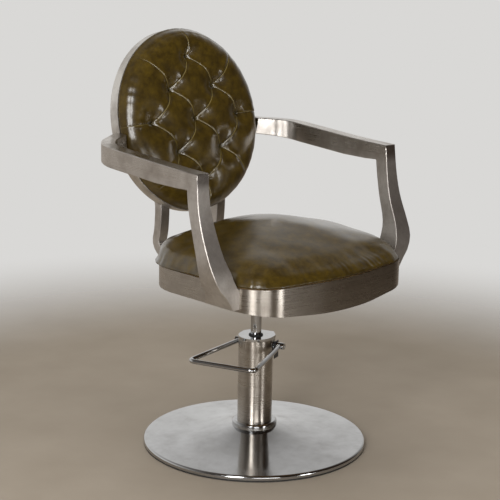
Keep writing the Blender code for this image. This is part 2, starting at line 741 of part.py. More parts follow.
def make_plunger():
    collar_high = COLLAR_LOW + COLLAR_HEIGHT
    profile = [
        (0, PLUNGER_TOP),
        (PLUNGER_RADIUS, PLUNGER_TOP),
        (PLUNGER_RADIUS, collar_high),
        (COLLAR_RADIUS, collar_high),
        (COLLAR_RADIUS, COLLAR_LOW),
        (PLUNGER_RADIUS, COLLAR_LOW),
        (PLUNGER_RADIUS, PLUNGER_FOOT),
        (0, PLUNGER_FOOT),
    ]
    plunger = turned("plunger", profile, PLAIN_STEEL, BOLT_STEPS * 2, PUMP_FRAME)
    plunger.location = (CAM_OFFSET, PLUNGER_BACK, 0)
    low = BARREL_TOP + GAP + SPRING_WIRE_RADIUS
    high = COLLAR_LOW - GAP - SPRING_WIRE_RADIUS
    per_turn = 10
    points = []
    for k in range(SPRING_TURNS * per_turn + 1):
        turn = 2 * math.pi * k / per_turn
        height = low + (high - low) * k / (SPRING_TURNS * per_turn)
        points.append(Vector((SPRING_RADIUS * math.cos(turn), SPRING_RADIUS * math.sin(turn), height)))
    least = min((b - a).length for a, b in zip(points, points[per_turn:])) - 2 * SPRING_WIRE_RADIUS
    print(f"return spring: least gap between turns {1000 * least:.2f} mm")
    spring = tube_along("return_spring", points, SPRING_WIRE_RADIUS, PLAIN_STEEL, PUMP_FRAME, 1)
    spring.location = (CAM_OFFSET, PLUNGER_BACK, 0)


# Rod
def make_rod():
    piston_high = ROD_FOOT + PISTON_HEIGHT
    profile = [
        (0, ROD_TOP),
        (ROD_RADIUS - ROD_TAPER_NARROWING, ROD_TOP),
        (ROD_RADIUS, SOCKET_LOW),
        (ROD_RADIUS, piston_high + GAP),
        (SPIGOT_RADIUS, piston_high + GAP),
        (SPIGOT_RADIUS, ROD_FOOT),
        (0, ROD_FOOT),
    ]
    turned("piston_rod", profile, CHROME)
    piston = tube_profile(BORE_RADIUS - GAP, SPIGOT_RADIUS + GAP, ROD_FOOT, piston_high)
    turned("piston", piston, BLACK_STEEL)


# Seat
def make_mounting_plate():
    half = MOUNT_PLATE_SIDE / 2
    low = (-half, -half, PLATE_LOW)
    slab = box_mesh("mounting_plate", low, (half, half, PLATE_HIGH))
    plate = add_part("mounting_plate", slab, BLACK_STEEL)
    socket = cylinder_mesh("rod_socket", SOCKET_RADIUS, PLATE_HIGH - GAP - SOCKET_LOW)
    socket_place = Matrix.Translation((0, 0, (PLATE_HIGH - GAP + SOCKET_LOW) / 2))
    shape_with(plate, add_cutter("rod_socket", socket, None, socket_place), "UNION")
    slope = ROD_TAPER_NARROWING / ROD_TAPER_LENGTH
    reach = PLATE_HIGH - SOCKET_LOW
    taper = cylinder_mesh(
        "rod_taper",
        ROD_RADIUS + GAP + slope * reach,
        3 * reach,
        top_radius=ROD_RADIUS + GAP - 2 * slope * reach,
    )
    taper_place = Matrix.Translation((0, 0, SOCKET_LOW + reach / 2))
    shape_with(plate, add_cutter("rod_taper", taper, None, taper_place))
    return plate


def make_rails(plate):
    bolt = 0
    for label, along in (("front", -RAIL_OFFSET), ("rear", RAIL_OFFSET)):
        name = f"cross_rail_{label}"
        half = RAIL_WIDTH / 2
        low = Vector((-SEAT_HALF_WIDTH, along - half, RAIL_LOW))
        high = Vector((SEAT_HALF_WIDTH, along + half, RAIL_LOW + RAIL_HEIGHT))
        rail = add_part(name, box_mesh(name, low, high), PLAIN_STEEL)
        wall = Vector((-RAIL_WALL, RAIL_WALL, RAIL_WALL))
        hollow = box_mesh(f"{name}_hollow", low + wall, high - wall)
        shape_with(rail, add_cutter(f"{name}_hollow", hollow))
        shape_with(rail, SEAT_INSIDE, "INTERSECT")
        for side in (-1, 1):
            bolt += 1
            place = Matrix.Translation((side * RAIL_OFFSET, along, PLATE_LOW - GAP))
            cap_screw(f"plate_bolt_{bolt}", place, PLATE_BOLT_LENGTH)
            drill(plate, f"mount_hole_{bolt}", place, HOLE_RADIUS, 2 * PLATE_BOLT_LENGTH)
            drill(rail, f"rail_hole_{bolt}", place, HOLE_RADIUS, 2 * PLATE_BOLT_LENGTH)


def band_low(x, y):
    """The band's lower edge: level at the sides and rear, deeper at the middle of the front."""
    if y > 0:
        return BAND_LOW
    return BAND_LOW - BAND_DIP * (1 - min(1.0, abs(x) / SEAT_HALF_WIDTH) ** 2.5)


def make_band():
    bm = bmesh.new()
    top = [bm.verts.new((point.x, point.y, BAND_HIGH)) for point in SEAT_PLAN]
    low = [bm.verts.new((point.x, point.y, band_low(point.x, point.y))) for point in SEAT_PLAN]
    for i in range(len(top)):
        bm.faces.new((low[i - 1], low[i], top[i], top[i - 1]))
    band = add_part("seat_band", mesh_from(bm, "seat_band"), BRUSHED_STEEL)
    wall = band.modifiers.new("Wall", "SOLIDIFY")
    wall.thickness = BAND_WALL
    wall.offset = -1
    wall.use_even_offset = True
    return band


def pad_point(point, share, inset, height):
    """A spot on the pad, from its outline drawn in by a share and then by a distance."""
    depth = SEAT_REAR - SEAT_PAD_OVERHANG_START
    rearward = max(0.0, (point.y - SEAT_PAD_OVERHANG_START) / depth)
    centre = Vector((0, SEAT_PAD_CENTRE))
    out = point - centre
    over = SEAT_PAD_OVERHANG * rearward**2 * (3 - 2 * rearward) - SEAT_PAD_INSET - inset
    spot = centre + (out + out.normalized() * over) * share
    fullness = 1 + SEAT_PAD_REAR_FULLNESS * (spot.y + SEAT_FRONT) / (SEAT_REAR + SEAT_FRONT)
    fullness -= SEAT_PAD_SIDE_FALL * (spot.x / SEAT_HALF_WIDTH) ** 2
    return (spot.x, spot.y, BAND_HIGH + GAP + height * fullness)


def make_seat_pad():
    """Drawn in at the band, widest just above it, a rolled edge and a crowned top."""
    outline = evenly_spaced(SEAT_PLAN, PAD_POINTS)
    levels = [(1, SEAT_PAD_TUCK, 0)]
    for k in range(6):
        turn = math.pi / 2 * k / 5
        rise = SEAT_PAD_WIDEST + SEAT_PAD_EDGE * math.sin(turn)
        levels.append((1, SEAT_PAD_ROLL * (1 - math.cos(turn)), rise))
    shoulder = SEAT_PAD_WIDEST + SEAT_PAD_EDGE
    for k in range(1, 7):
        share = 1 - k / 7
        levels.append((share, SEAT_PAD_ROLL, shoulder + SEAT_PAD_CROWN * (1 - share**2)))
    rings = [[pad_point(point, *level) for point in outline] for level in levels]
    crown = pad_point(Vector((0.001, SEAT_PAD_CENTRE)), 0, 0, shoulder + SEAT_PAD_CROWN)
    add_part("seat_cushion", loft_mesh("seat_cushion", rings, crown), OLIVE_LEATHER)


def make_seat():
    plate = make_mounting_plate()
    make_rails(plate)
    add_part("seat_board", prism_mesh("seat_board", SEAT_INNER_PLAN, BOARD_LOW, BAND_HIGH), PLYWOOD)
    make_seat_pad()
    return make_band()


# Back
def tuft_points():
    """Nine pulled points in a diamond: rows of one, two, three, two and one."""
    points = []
    for row in range(-2, 3):
        across = 2 - abs(row)
        for k in range(across + 1):
            points.append(Vector(((k - across / 2) * TUFT_PITCH_ACROSS, row * TUFT_PITCH_UP / 2)))
    return points


def pleats(points):
    """Folds between neighbouring points, and from the outer points to the rim."""
    reach = Vector((TUFT_PITCH_ACROSS / 2, TUFT_PITCH_UP / 2)).length * 1.01
    inner = [(a, b) for i, a in enumerate(points) for b in points[:i] if (a - b).length < reach]
    outer = []
    for point in points:
        if point.length > reach * 0.9:
            outer.append((point, point.normalized() * (RING_HALF_WIDTH + RING_HALF_HEIGHT) / 2))
    return inner + outer


def distance_to(spot, start, end):
    along = end - start
    share = max(0.0, min(1.0, (spot - start).dot(along) / along.length_squared))
    return (spot - start - along * share).length


def back_pad_depth(spot, rim_share, points, folds):
    """How far the pad's face stands in front of the ring, with its tufts pulled in."""
    dome = BACK_PAD_BULGE * (1 - rim_share**7) ** 0.5
    pull = max(math.exp(-(((spot - point).length / TUFT_SPREAD) ** 2)) for point in points)
    fold = max(math.exp(-((distance_to(spot, *ends) / PLEAT_SPREAD) ** 2)) for ends in folds)
    fade = min(1.0, (1 - rim_share) / 0.15)
    return dome - max(TUFT_DEPTH * pull, PLEAT_DEPTH * fold * fade)


def make_back_pad():
    """The tufted medallion, drawn in where it meets the ring."""
    points = tuft_points()
    folds = pleats(points)
    wide = RING_HALF_WIDTH - RING_INNER_CLEAR
    tall = RING_HALF_HEIGHT - RING_INNER_CLEAR
    edge = oval(wide, tall)
    rings = [[(x, depth, z) for x, z in edge] for depth in (BACK_PAD_REAR, -RING_DEPTH)]
    rows = 18
    for k in range(1, rows):
        share = 1 - (k / rows) ** 1.25
        ring = []
        for x, z in edge:
            spot = Vector((x, z)) * share
            ring.append((spot.x, -RING_DEPTH - back_pad_depth(spot, share, points, folds), spot.y))
        rings.append(ring)
    centre = Vector((0, 0))
    crown = (0, -RING_DEPTH - back_pad_depth(centre, 0, points, folds), 0)
    add_part("back_cushion", loft_mesh("back_cushion", rings, crown), OLIVE_LEATHER, BACK_FRAME)


def make_back():
    bm = bmesh.new()
    edge = oval(RING_HALF_WIDTH, RING_HALF_HEIGHT)
    front = [bm.verts.new((x, -RING_DEPTH, z)) for x, z in edge]
    rear = [bm.verts.new((x, 0, z)) for x, z in edge]
    for i in range(len(edge)):
        bm.faces.new((front[i], front[i - 1], rear[i - 1], rear[i]))
    ring = add_part("back_ring", mesh_from(bm, "back_ring"), BRUSHED_STEEL, BACK_FRAME)
    wall = ring.modifiers.new("Wall", "SOLIDIFY")
    wall.thickness = RING_WALL
    wall.offset = -1
    wall.use_even_offset = True
    wide = RING_HALF_WIDTH - RING_INNER_CLEAR
    tall = RING_HALF_HEIGHT - RING_INNER_CLEAR
    board_front = -BACK_BOARD_INSET - BACK_BOARD_THICKNESS
    board = oval_prism("back_board", wide, tall, board_front, -BACK_BOARD_INSET)
    board = add_part("back_board", board, PLYWOOD, BACK_FRAME)
    make_back_pad()
    rear_low = GAP - BACK_BOARD_INSET
    rings = [[(x, rear_low, z) for x, z in oval(wide, tall)]]
    for share in REAR_PAD_SHARES:
        depth = rear_low + REAR_PAD_THICKNESS * (1 - share**8) ** 0.5
        rings.append([(x * share, depth, z * share) for x, z in oval(wide, tall)])
    pad = loft_mesh("back_rear_pad", rings, (0, rear_low + REAR_PAD_THICKNESS, 0))
    rear_pad = add_part("back_rear_pad", pad, OLIVE_LEATHER, BACK_FRAME)
    return board, rear_pad


def bevel_edges(part):
    bevel = part.modifiers.new("Edges", "BEVEL")
    bevel.width = BAR_EDGE_BEVEL
    bevel.segments = 1
    bevel.limit_method = "ANGLE"
    bevel.angle_limit = math.radians(50)


def post_path(side):
    """Down the back of the ring, upright below it, then forward into the band's rear wall."""
    path = [
        BACK_PLACE @ Vector((side * POST_OFFSET, POST_LAP, height))
        for height in (-POST_TOP_DROP, -POST_RUN_DROP, -POST_TURN_DROP)
    ]
    turn = path[-1]
    for drop, forward in BACK_POST_STATIONS:
        y = turn.y + (SEAT_REAR - turn.y) * forward
        z = turn.z + (POST_FOOT_HEIGHT - turn.z) * drop
        path.append(Vector((turn.x, y, z)))
    return path


def make_post(name, side, band, board, rear_pad):
    path = through(post_path(side))
    rings = []
    out = Vector((POST_WIDTH / 2, 0, 0))
    for i, centre in enumerate(path):
        along = (path[min(i + 1, len(path) - 1)] - path[max(i - 1, 0)]).normalized()
        rear = along.cross(out).normalized() * POST_DEPTH / 2
        rings.append([centre + out + rear, centre - out + rear, centre - out - rear, centre + out - rear])
    post = add_part(name, loft_mesh(name, rings), BRUSHED_STEEL)
    bevel_edges(post)
    shape_with(post, POST_NOTCH)
    shape_with(post, SEAT_VOLUME)
    inner_face = SEAT_REAR - BAND_WALL - GAP
    place = Matrix.Translation((side * POST_OFFSET, inner_face, POST_FOOT_HEIGHT))
    fasten(f"{name}_bolt", place @ Matrix.Rotation(-math.pi / 2, 4, "X"), (post, band), FRAME_BOLT_LENGTH)
    rear_face = POST_LAP + POST_DEPTH / 2 + GAP
    place = BACK_PLACE @ Matrix.Translation((side * POST_OFFSET, rear_face, -POST_SCREW_DROP))
    length = rear_face + BACK_BOARD_INSET + BACK_BOARD_THICKNESS / 2
    parts = (post, rear_pad, board)
    fasten(f"{name}_screw", place @ Matrix.Rotation(math.pi / 2, 4, "X"), parts, length)


def fasten(name, place, parts, length):
    """A screw, and its hole in each part that it passes through or holds."""
    cap_screw(name, place, length)
    for part in parts:
        drill(part, f"{name}_hole_{part.name}", place, HOLE_RADIUS, 2 * (length + GAP))


# Arms
def rail_rings(side):
    """The rail's cross-sections from its mitre back to the ring."""
    start = Vector((ARM_HALF_SPAN, -ARM_FRONT))
    bend = Vector((ARM_HALF_SPAN, ARM_BEND_BACK))
    end = Vector((ARM_END_OFFSET, ARM_END_BACK))
    plan = [start.lerp(bend, share) for share in (0.2, 0.4)]
    plan += corner_arc(start, bend, end, ARM_BEND_RADIUS, 9) + [end]
    length = sum((b - a).length for a, b in zip([start] + plan, plan))
    rings = []
    passed = 0.0
    previous = start
    for i, spot in enumerate(plan):
        passed += (spot - previous).length
        along = (plan[min(i + 1, len(plan) - 1)] - previous).normalized()
        out = Vector((along.y, -along.x)) * ARM_BAR_WIDTH / 2
        high = ARM_HEIGHT + ARM_RISE * (passed / length) ** 1.3
        low = high - ARM_RAIL_THICKNESS - ARM_RAIL_SWELL * math.sin(math.pi * passed / length)
        outer = spot + out
        inner = spot - out
        corners = ((outer, high), (inner, high), (inner, low), (outer, low))
        rings.append([(side * at.x, at.y, height) for at, height in corners])
        previous = spot
    return rings


def post_station(share):
    """One level of the front post: its outer and inner faces, its front and its rear."""
    levels = through(ARM_POST_STATIONS, 2 * PATH_STEPS)
    upper, lower = next(pair for pair in zip(levels, levels[1:]) if share <= pair[1][0])
    part_way = (share - upper[0]) / (lower[0] - upper[0])
    _, inward, width, forward, depth = upper.lerp(lower, part_way)
    top_outer = ARM_HALF_SPAN + ARM_BAR_WIDTH / 2
    outer = top_outer + (SEAT_HALF_WIDTH + ARM_FOOT_PROUD - top_outer) * inward
    front = -ARM_FRONT - ARM_POST_REACH * forward
    return outer, outer - ARM_BAR_WIDTH * width, front, front + ARM_FOOT_DEPTH * depth


def post_rings(side):
    """The front post's cross-sections, level at its foot and tilting up to the mitre."""
    drop = ARM_HEIGHT - ARM_FOOT_LIFT - BAND_LOW
    mitre = ARM_RAIL_THICKNESS / drop
    rings = []
    for k in range(ARM_POST_RINGS, -1, -1):
        share = k / ARM_POST_RINGS
        rear_share = mitre + (1 - mitre) * share
        outer, inner, front, _ = post_station(share)
        rear_outer, rear_inner, _, rear = post_station(rear_share)
        high = ARM_HEIGHT - drop * share
        low = ARM_HEIGHT - drop * rear_share
        rings.append(
            [
                (side * outer, front, high),
                (side * inner, front, high),
                (side * rear_inner, rear, low),
                (side * rear_outer, rear, low),
            ]
        )
    return rings


def make_arm(name, side, band):
    arm = add_part(name, loft_mesh(name, post_rings(side) + rail_rings(side)), BRUSHED_STEEL)
    bevel_edges(arm)
    shape_with(arm, RING_VOLUME)
    shape_with(arm, SEAT_VOLUME)
    inner_face = side * (SEAT_HALF_WIDTH - BAND_WALL - GAP)
    for k, height in enumerate(ARM_BOLT_HEIGHTS):
        place = Matrix.Translation((inner_face, -ARM_BOLT_FORWARD, height))
        place = place @ Matrix.Rotation(side * math.pi / 2, 4, "Y")
        fasten(f"{name}_bolt_{k + 1}", place, (arm, band), FRAME_BOLT_LENGTH)


make_dish()
make_flange()
PUMP_BODY = make_pump_body()
make_base_bolts(make_base_plate(), PUMP_BODY)
make_pump_cover()
make_pump_head()
make_pedal()
make_cam()
make_plunger()
make_rod()
SEAT_BAND = make_seat()
BACK_BOARD, REAR_PAD = make_back()
for label, side in (("left", 1), ("right", -1)):
    make_post(f"back_post_{label}", side, SEAT_BAND, BACK_BOARD, REAR_PAD)
    make_arm(f"arm_{label}", side, SEAT_BAND)
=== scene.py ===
# %% [markdown]
# # A salon chair with a tufted back
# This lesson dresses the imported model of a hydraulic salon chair: chromed foot, brushed steel
# frame, olive leathercloth cushions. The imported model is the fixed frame. Every piece made here
# goes where that frame says, and rides on one of its moving bodies.

# %% Load the frame
import json
import math

import bmesh
import bpy
import numpy as np
from mathutils import Matrix, Vector

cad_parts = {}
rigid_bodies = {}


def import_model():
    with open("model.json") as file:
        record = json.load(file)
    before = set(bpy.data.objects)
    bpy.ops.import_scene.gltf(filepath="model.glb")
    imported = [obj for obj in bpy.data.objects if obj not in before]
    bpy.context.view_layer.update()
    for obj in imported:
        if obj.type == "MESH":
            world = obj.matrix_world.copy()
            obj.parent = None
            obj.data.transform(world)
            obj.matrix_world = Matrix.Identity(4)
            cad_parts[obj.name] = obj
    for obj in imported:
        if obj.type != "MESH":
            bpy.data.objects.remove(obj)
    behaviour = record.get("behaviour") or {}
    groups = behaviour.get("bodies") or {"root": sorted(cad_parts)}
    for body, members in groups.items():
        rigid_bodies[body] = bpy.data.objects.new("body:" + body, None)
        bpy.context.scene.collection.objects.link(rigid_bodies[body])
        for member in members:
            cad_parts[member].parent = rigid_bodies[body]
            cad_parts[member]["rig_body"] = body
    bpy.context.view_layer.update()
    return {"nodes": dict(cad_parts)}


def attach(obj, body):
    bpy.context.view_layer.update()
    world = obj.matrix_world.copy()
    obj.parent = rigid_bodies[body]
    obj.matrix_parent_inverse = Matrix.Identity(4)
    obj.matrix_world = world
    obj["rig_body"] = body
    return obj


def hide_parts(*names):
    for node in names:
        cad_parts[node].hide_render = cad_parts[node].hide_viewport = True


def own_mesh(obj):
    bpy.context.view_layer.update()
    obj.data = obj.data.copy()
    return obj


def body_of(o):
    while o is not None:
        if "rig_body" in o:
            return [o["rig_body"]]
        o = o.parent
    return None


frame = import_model()

# %% [markdown]
# ## Three small helpers
# Colours are easiest to write as the hex values that a paint program shows, but shaders count in
# linear light, so one function converts them. A second one adds a shader node, sets its values
# and links its inputs, which keeps each material readable as a list of what it is made of. A third
# one starts a material with its Principled shader.

# %% Colour and node helpers
def linear(hex_colour):
    values = [int(hex_colour[k:k + 2], 16) / 255 for k in (1, 3, 5)]
    return tuple(v / 12.92 if v <= 0.04045 else ((v + 0.055) / 1.055) ** 2.4 for v in values) + (1.0,)


def add_node(tree, kind, settings=None, links=None):
    node = tree.nodes.new(kind)
    for key, value in (settings or {}).items():
        if isinstance(key, str) and hasattr(node, key):
            setattr(node, key, value)
        else:
            node.inputs[key].default_value = value
    for key, (source, output) in (links or {}).items():
        tree.links.new(source.outputs[output], node.inputs[key])
    return node


def start_material(name):
    material = bpy.data.materials.new(name)
    material.use_nodes = True
    return material, material.node_tree, material.node_tree.nodes["Principled BSDF"]


print("mid grey is", [round(v, 3) for v in linear("#808080")])

# %% [markdown]
# ## The camera
# The chair was photographed from its front right, a little above the seat, with a long lens, so
# its upright edges stay nearly parallel. The chair in the picture stands a touch out of plumb.
# Most of that is given to the camera as roll, because the model itself stands straight.

# %% Camera
CAMERA_PLACE = (-2.612, -2.656, 1.404)
CAMERA_PITCH = math.radians(90 - 13.418)
CAMERA_TURN = math.radians(-44.227)
CAMERA_ROLL = math.radians(1.0)
camera_data = bpy.data.cameras.new("camera")
camera_data.lens = 108
camera_data.sensor_width = 36
camera = bpy.data.objects.new("camera", camera_data)
bpy.context.scene.collection.objects.link(camera)
aim = Matrix.Rotation(CAMERA_TURN, 4, "Z") @ Matrix.Rotation(CAMERA_PITCH, 4, "X")
camera.matrix_world = Matrix.Translation(CAMERA_PLACE) @ aim @ Matrix.Rotation(CAMERA_ROLL, 4, "Z")
bpy.context.scene.camera = camera
print("camera looks from", CAMERA_PLACE)

# %% [markdown]
# ## The floor
# A plain pale floor catches the shadow. A square plane would show its edge from some sides, so this
# is a disc that fades out far from the chair. The background then becomes one even pale tone, as on
# a studio sweep, from every side.

# %% Floor
FLOOR_CLEAR_RADIUS = 0.95
FLOOR_FADED_RADIUS = 2.2
FLOOR_DROP = 0.0005
floor_bm = bmesh.new()
bmesh.ops.create_circle(floor_bm, cap_ends=True, segments=96, radius=FLOOR_FADED_RADIUS)
floor_mesh = bpy.data.meshes.new("floor")
floor_bm.to_mesh(floor_mesh)
floor_bm.free()
floor = bpy.data.objects.new("floor", floor_mesh)
bpy.context.scene.collection.objects.link(floor)
floor.location.z = -FLOOR_DROP

floor_paint, tree, shader = start_material("sealed_pale_concrete")
shader.inputs["Roughness"].default_value = 0.75
spot = add_node(tree, "ShaderNodeTexCoord")
clouds = add_node(tree, "ShaderNodeTexNoise", {"Scale": 5.0, "Detail": 6.0}, {"Vector": (spot, "Object")})
pale = add_node(tree, "ShaderNodeMix",
                {"data_type": "RGBA", 6: linear("#9a8e7e"), 7: linear("#aea293")},
                {0: (clouds, "Fac")})
tree.links.new(pale.outputs[2], shader.inputs["Base Color"])
far = add_node(tree, "ShaderNodeVectorMath", {"operation": "LENGTH"}, {0: (spot, "Object")})
fade = add_node(tree, "ShaderNodeMapRange",
                {"interpolation_type": "SMOOTHSTEP", "From Min": FLOOR_CLEAR_RADIUS,
                 "From Max": FLOOR_FADED_RADIUS},
                {"Value": (far, "Value")})
clear = add_node(tree, "ShaderNodeBsdfTransparent")
blend = add_node(tree, "ShaderNodeMixShader", None,
                 {0: (fade, "Result"), 1: (shader, "BSDF"), 2: (clear, "BSDF")})
tree.links.new(blend.outputs[0], tree.nodes["Material Output"].inputs["Surface"])
floor_mesh.materials.append(floor_paint)
print("floor radius", FLOOR_FADED_RADIUS)

# %% [markdown]
# ## The room that the metal mirrors
# Brushed steel only looks like steel when it has something dark to show. One even tone all round
# would make it look like grey paint, so the world is a simple room: pale on the wall side, floor
# brown below the horizon, dimmer towards the ceiling and dark behind the camera. The camera itself
# sees an even backdrop, and dull surfaces get an even soft light.

# %% World
WALL_SIDE = (0.10, 0.995, 0.0)
WALL_STARTS, WALL_FULL = -0.25, 0.85
CEILING_STARTS, CEILING_FULL, CEILING_LIGHT = 0.35, 0.85, 0.25
FLOOR_STARTS = -0.28
world = bpy.data.worlds.new("studio")
bpy.context.scene.world = world
world.use_nodes = True
tree = world.node_tree
ambient = tree.nodes["Background"]
ambient.inputs["Color"].default_value = linear("#f2efe9")
ambient.inputs["Strength"].default_value = 0.34
look = add_node(tree, "ShaderNodeTexCoord")
height = add_node(tree, "ShaderNodeSeparateXYZ", None, {"Vector": (look, "Generated")})
below_ceiling = add_node(tree, "ShaderNodeMapRange",
                         {"interpolation_type": "SMOOTHSTEP", "From Min": CEILING_STARTS,
                          "From Max": CEILING_FULL, "To Min": 1.0, "To Max": CEILING_LIGHT},
                         {"Value": (height, "Z")})
towards_wall = add_node(tree, "ShaderNodeVectorMath", {"operation": "DOT_PRODUCT", 1: WALL_SIDE},
                        {0: (look, "Generated")})
wall_share = add_node(tree, "ShaderNodeMapRange",
                      {"interpolation_type": "SMOOTHSTEP", "From Min": WALL_STARTS,
                       "From Max": WALL_FULL},
                      {"Value": (towards_wall, "Value")})
lit_share = add_node(tree, "ShaderNodeMath", {"operation": "MULTIPLY"},
                     {0: (wall_share, "Result"), 1: (below_ceiling, "Result")})
above_floor = add_node(tree, "ShaderNodeMapRange",
                       {"interpolation_type": "SMOOTHSTEP", "From Min": FLOOR_STARTS, "From Max": 0.0},
                       {"Value": (height, "Z")})
lit_tone = add_node(tree, "ShaderNodeMix",
                    {"data_type": "RGBA", 6: linear("#8a7b6b"), 7: linear("#efeeec")},
                    {0: (above_floor, "Result")})
room_tone = add_node(tree, "ShaderNodeMix", {"data_type": "RGBA", 6: linear("#342920")},
                     {0: (lit_share, 0), 7: (lit_tone, 2)})
room = add_node(tree, "ShaderNodeBackground", None, {"Color": (room_tone, 2)})
print("wall side", WALL_SIDE)

# %% Backdrop
rays = add_node(tree, "ShaderNodeLightPath")
mirror_or_camera = add_node(tree, "ShaderNodeMath", {"operation": "MAXIMUM"},
                            {0: (rays, "Is Camera Ray"), 1: (rays, "Is Glossy Ray")})
seen = add_node(tree, "ShaderNodeMath", {"operation": "MAXIMUM"},
                {0: (mirror_or_camera, 0), 1: (rays, "Is Transmission Ray")})
backdrop = add_node(tree, "ShaderNodeBackground", {"Color": linear("#d9d8d6")})
shown = add_node(tree, "ShaderNodeMixShader", None,
                 {0: (rays, "Is Camera Ray"), 1: (room, 0), 2: (backdrop, 0)})
sky = add_node(tree, "ShaderNodeMixShader", None, {0: (seen, 0), 1: (ambient, 0), 2: (shown, 0)})
tree.links.new(sky.outputs[0], tree.nodes["World Output"].inputs["Surface"])
bpy.context.scene.view_settings.view_transform = "Standard"
print("world has", len(tree.nodes), "nodes")

# %% [markdown]
# ## Light
# Four soft panels: a tall one beside the camera, on its left, gives the leather its highlights. Two
# low ones, in front of the chair and below the camera, draw upright streaks on the seat's band and
# light its front corner. The broad one overhead only lifts the shadows, so it is kept out of mirrors.

# %% Lights
def soft_panel(name, place, target, size, power, mirrored=True):
    data = bpy.data.lights.new(name, "AREA")
    data.shape = "RECTANGLE"
    data.size, data.size_y = size
    data.energy = power
    lamp = bpy.data.objects.new(name, data)
    bpy.context.scene.collection.objects.link(lamp)
    lamp.visible_camera = False
    lamp.visible_glossy = mirrored
    direction = Vector(target) - Vector(place)
    facing = direction.to_track_quat("-Z", "Y").to_matrix().to_4x4()
    lamp.matrix_world = Matrix.Translation(place) @ facing
    print(name, power, "W")


soft_panel("main_panel", (-2.66, -1.37, 1.55), (0, 0, 0.9), (0.75, 2.7), 74)
soft_panel("front_panel", (0.3, -2.6, 0.42), (0, 0, 0.45), (0.5, 0.75), 11)
soft_panel("top_panel", (0.2, 0.5, 3.2), (0, 0, 0), (2.6, 2.6), 36, False)
soft_panel("corner_panel", (-1.5, -2.4, 0.38), (0, 0, 0.45), (1.2, 0.55), 13)

# %% [markdown]
# ## Brushed stainless steel
# The bars and bands are stainless steel that was worked with an abrasive belt, which leaves fine
# lines along the metal. The eye gets a warm grey with soft streaks, and cloudy marks from years of
# hands. The lines are really about 0.3 mm apart. They are drawn 1.2 mm apart so that they show.
# Noise that is squeezed across the lines and stretched along them makes them. An arm is two bars
# joined at a mitre, so its lines change direction at the foot of the rail, and its posts are duller.
# The bars and the oval ring are the same steel as the bands, painted lighter for the light they catch.

# %% Brushed steel
LINE_PITCH = 0.0012
LINE_LENGTH = 0.090
MARK_SIZE = 0.045
RAIL_FOOT, MITRE_HALF = 0.74, 0.012
COARSER, OVAL_COARSER = 0.20, 0.14
SMOOTHEST, ROUGHEST = 0.23, 0.32
ACROSS = 1 / LINE_PITCH
ALONG = 1 / LINE_LENGTH


def belt_lines(tree, spot, grain):
    stretch = add_node(tree, "ShaderNodeMapping", {"Scale": grain}, {"Vector": (spot, "Object")})
    return add_node(tree, "ShaderNodeTexNoise", {"Scale": 1.0, "Detail": 3.0, "Roughness": 0.65},
                    {"Vector": (stretch, "Vector")})


def brushed_stainless(name, grain, low_grain=None, turned=False, tones=("#a0998f", "#c3bdb5"),
                      coarse=0.0):
    material, tree, shader = start_material(name)
    shader.inputs["Metallic"].default_value = 1.0
    if turned:
        shader.inputs["Anisotropic"].default_value = 0.8
        shader.inputs["Anisotropic Rotation"].default_value = 0.25
        round_axis = add_node(tree, "ShaderNodeTangent", {"direction_type": "RADIAL", "axis": "Z"})
        tree.links.new(round_axis.outputs[0], shader.inputs["Tangent"])
    spot = add_node(tree, "ShaderNodeTexCoord")
    lines = (belt_lines(tree, spot, grain), "Fac")
    if low_grain:
        low_lines = belt_lines(tree, spot, low_grain)
        parts = add_node(tree, "ShaderNodeSeparateXYZ", None, {"Vector": (spot, "Object")})
        upper = add_node(tree, "ShaderNodeMapRange",
                         {"From Min": RAIL_FOOT - MITRE_HALF, "From Max": RAIL_FOOT + MITRE_HALF},
                         {"Value": (parts, "Z")})
        both = add_node(tree, "ShaderNodeMix", {"data_type": "FLOAT"},
                        {0: (upper, "Result"), 2: (low_lines, "Fac"), 3: lines})
        lines = (both, 0)
    marks = add_node(tree, "ShaderNodeTexNoise",
                     {"Scale": 1 / MARK_SIZE, "Detail": 6.0, "Roughness": 0.62},
                     {"Vector": (spot, "Object")})
    tone = add_node(tree, "ShaderNodeMix",
                    {"data_type": "RGBA", 6: linear(tones[0]), 7: linear(tones[1])}, {0: lines})
    cloudy = add_node(tree, "ShaderNodeMapRange", {"From Min": 0.42, "From Max": 0.72, "To Max": 0.55},
                      {"Value": (marks, "Fac")})
    stained = add_node(tree, "ShaderNodeMix", {"data_type": "RGBA", 7: linear("#8a7f74")},
                       {0: (cloudy, "Result"), 6: (tone, 2)})
    tree.links.new(stained.outputs[2], shader.inputs["Base Color"])
    satin = add_node(tree, "ShaderNodeMapRange",
                     {"From Min": 0.3, "From Max": 0.7, "To Min": SMOOTHEST + coarse,
                      "To Max": ROUGHEST + coarse},
                     {"Value": lines})
    rough = add_node(tree, "ShaderNodeMath", {"operation": "MULTIPLY_ADD", 1: 0.14},
                     {0: (cloudy, "Result"), 2: (satin, "Result")})
    if low_grain:
        duller = add_node(tree, "ShaderNodeMapRange", {"To Min": COARSER, "To Max": 0.0},
                          {"Value": (upper, "Result")})
        rough = add_node(tree, "ShaderNodeMath", {"operation": "ADD"},
                         {0: (rough, 0), 1: (duller, "Result")})
    tree.links.new(rough.outputs[0], shader.inputs["Roughness"])
    bump = add_node(tree, "ShaderNodeBump", {"Strength": 0.09, "Distance": 0.0004}, {"Height": lines})
    tree.links.new(bump.outputs[0], shader.inputs["Normal"])
    return material
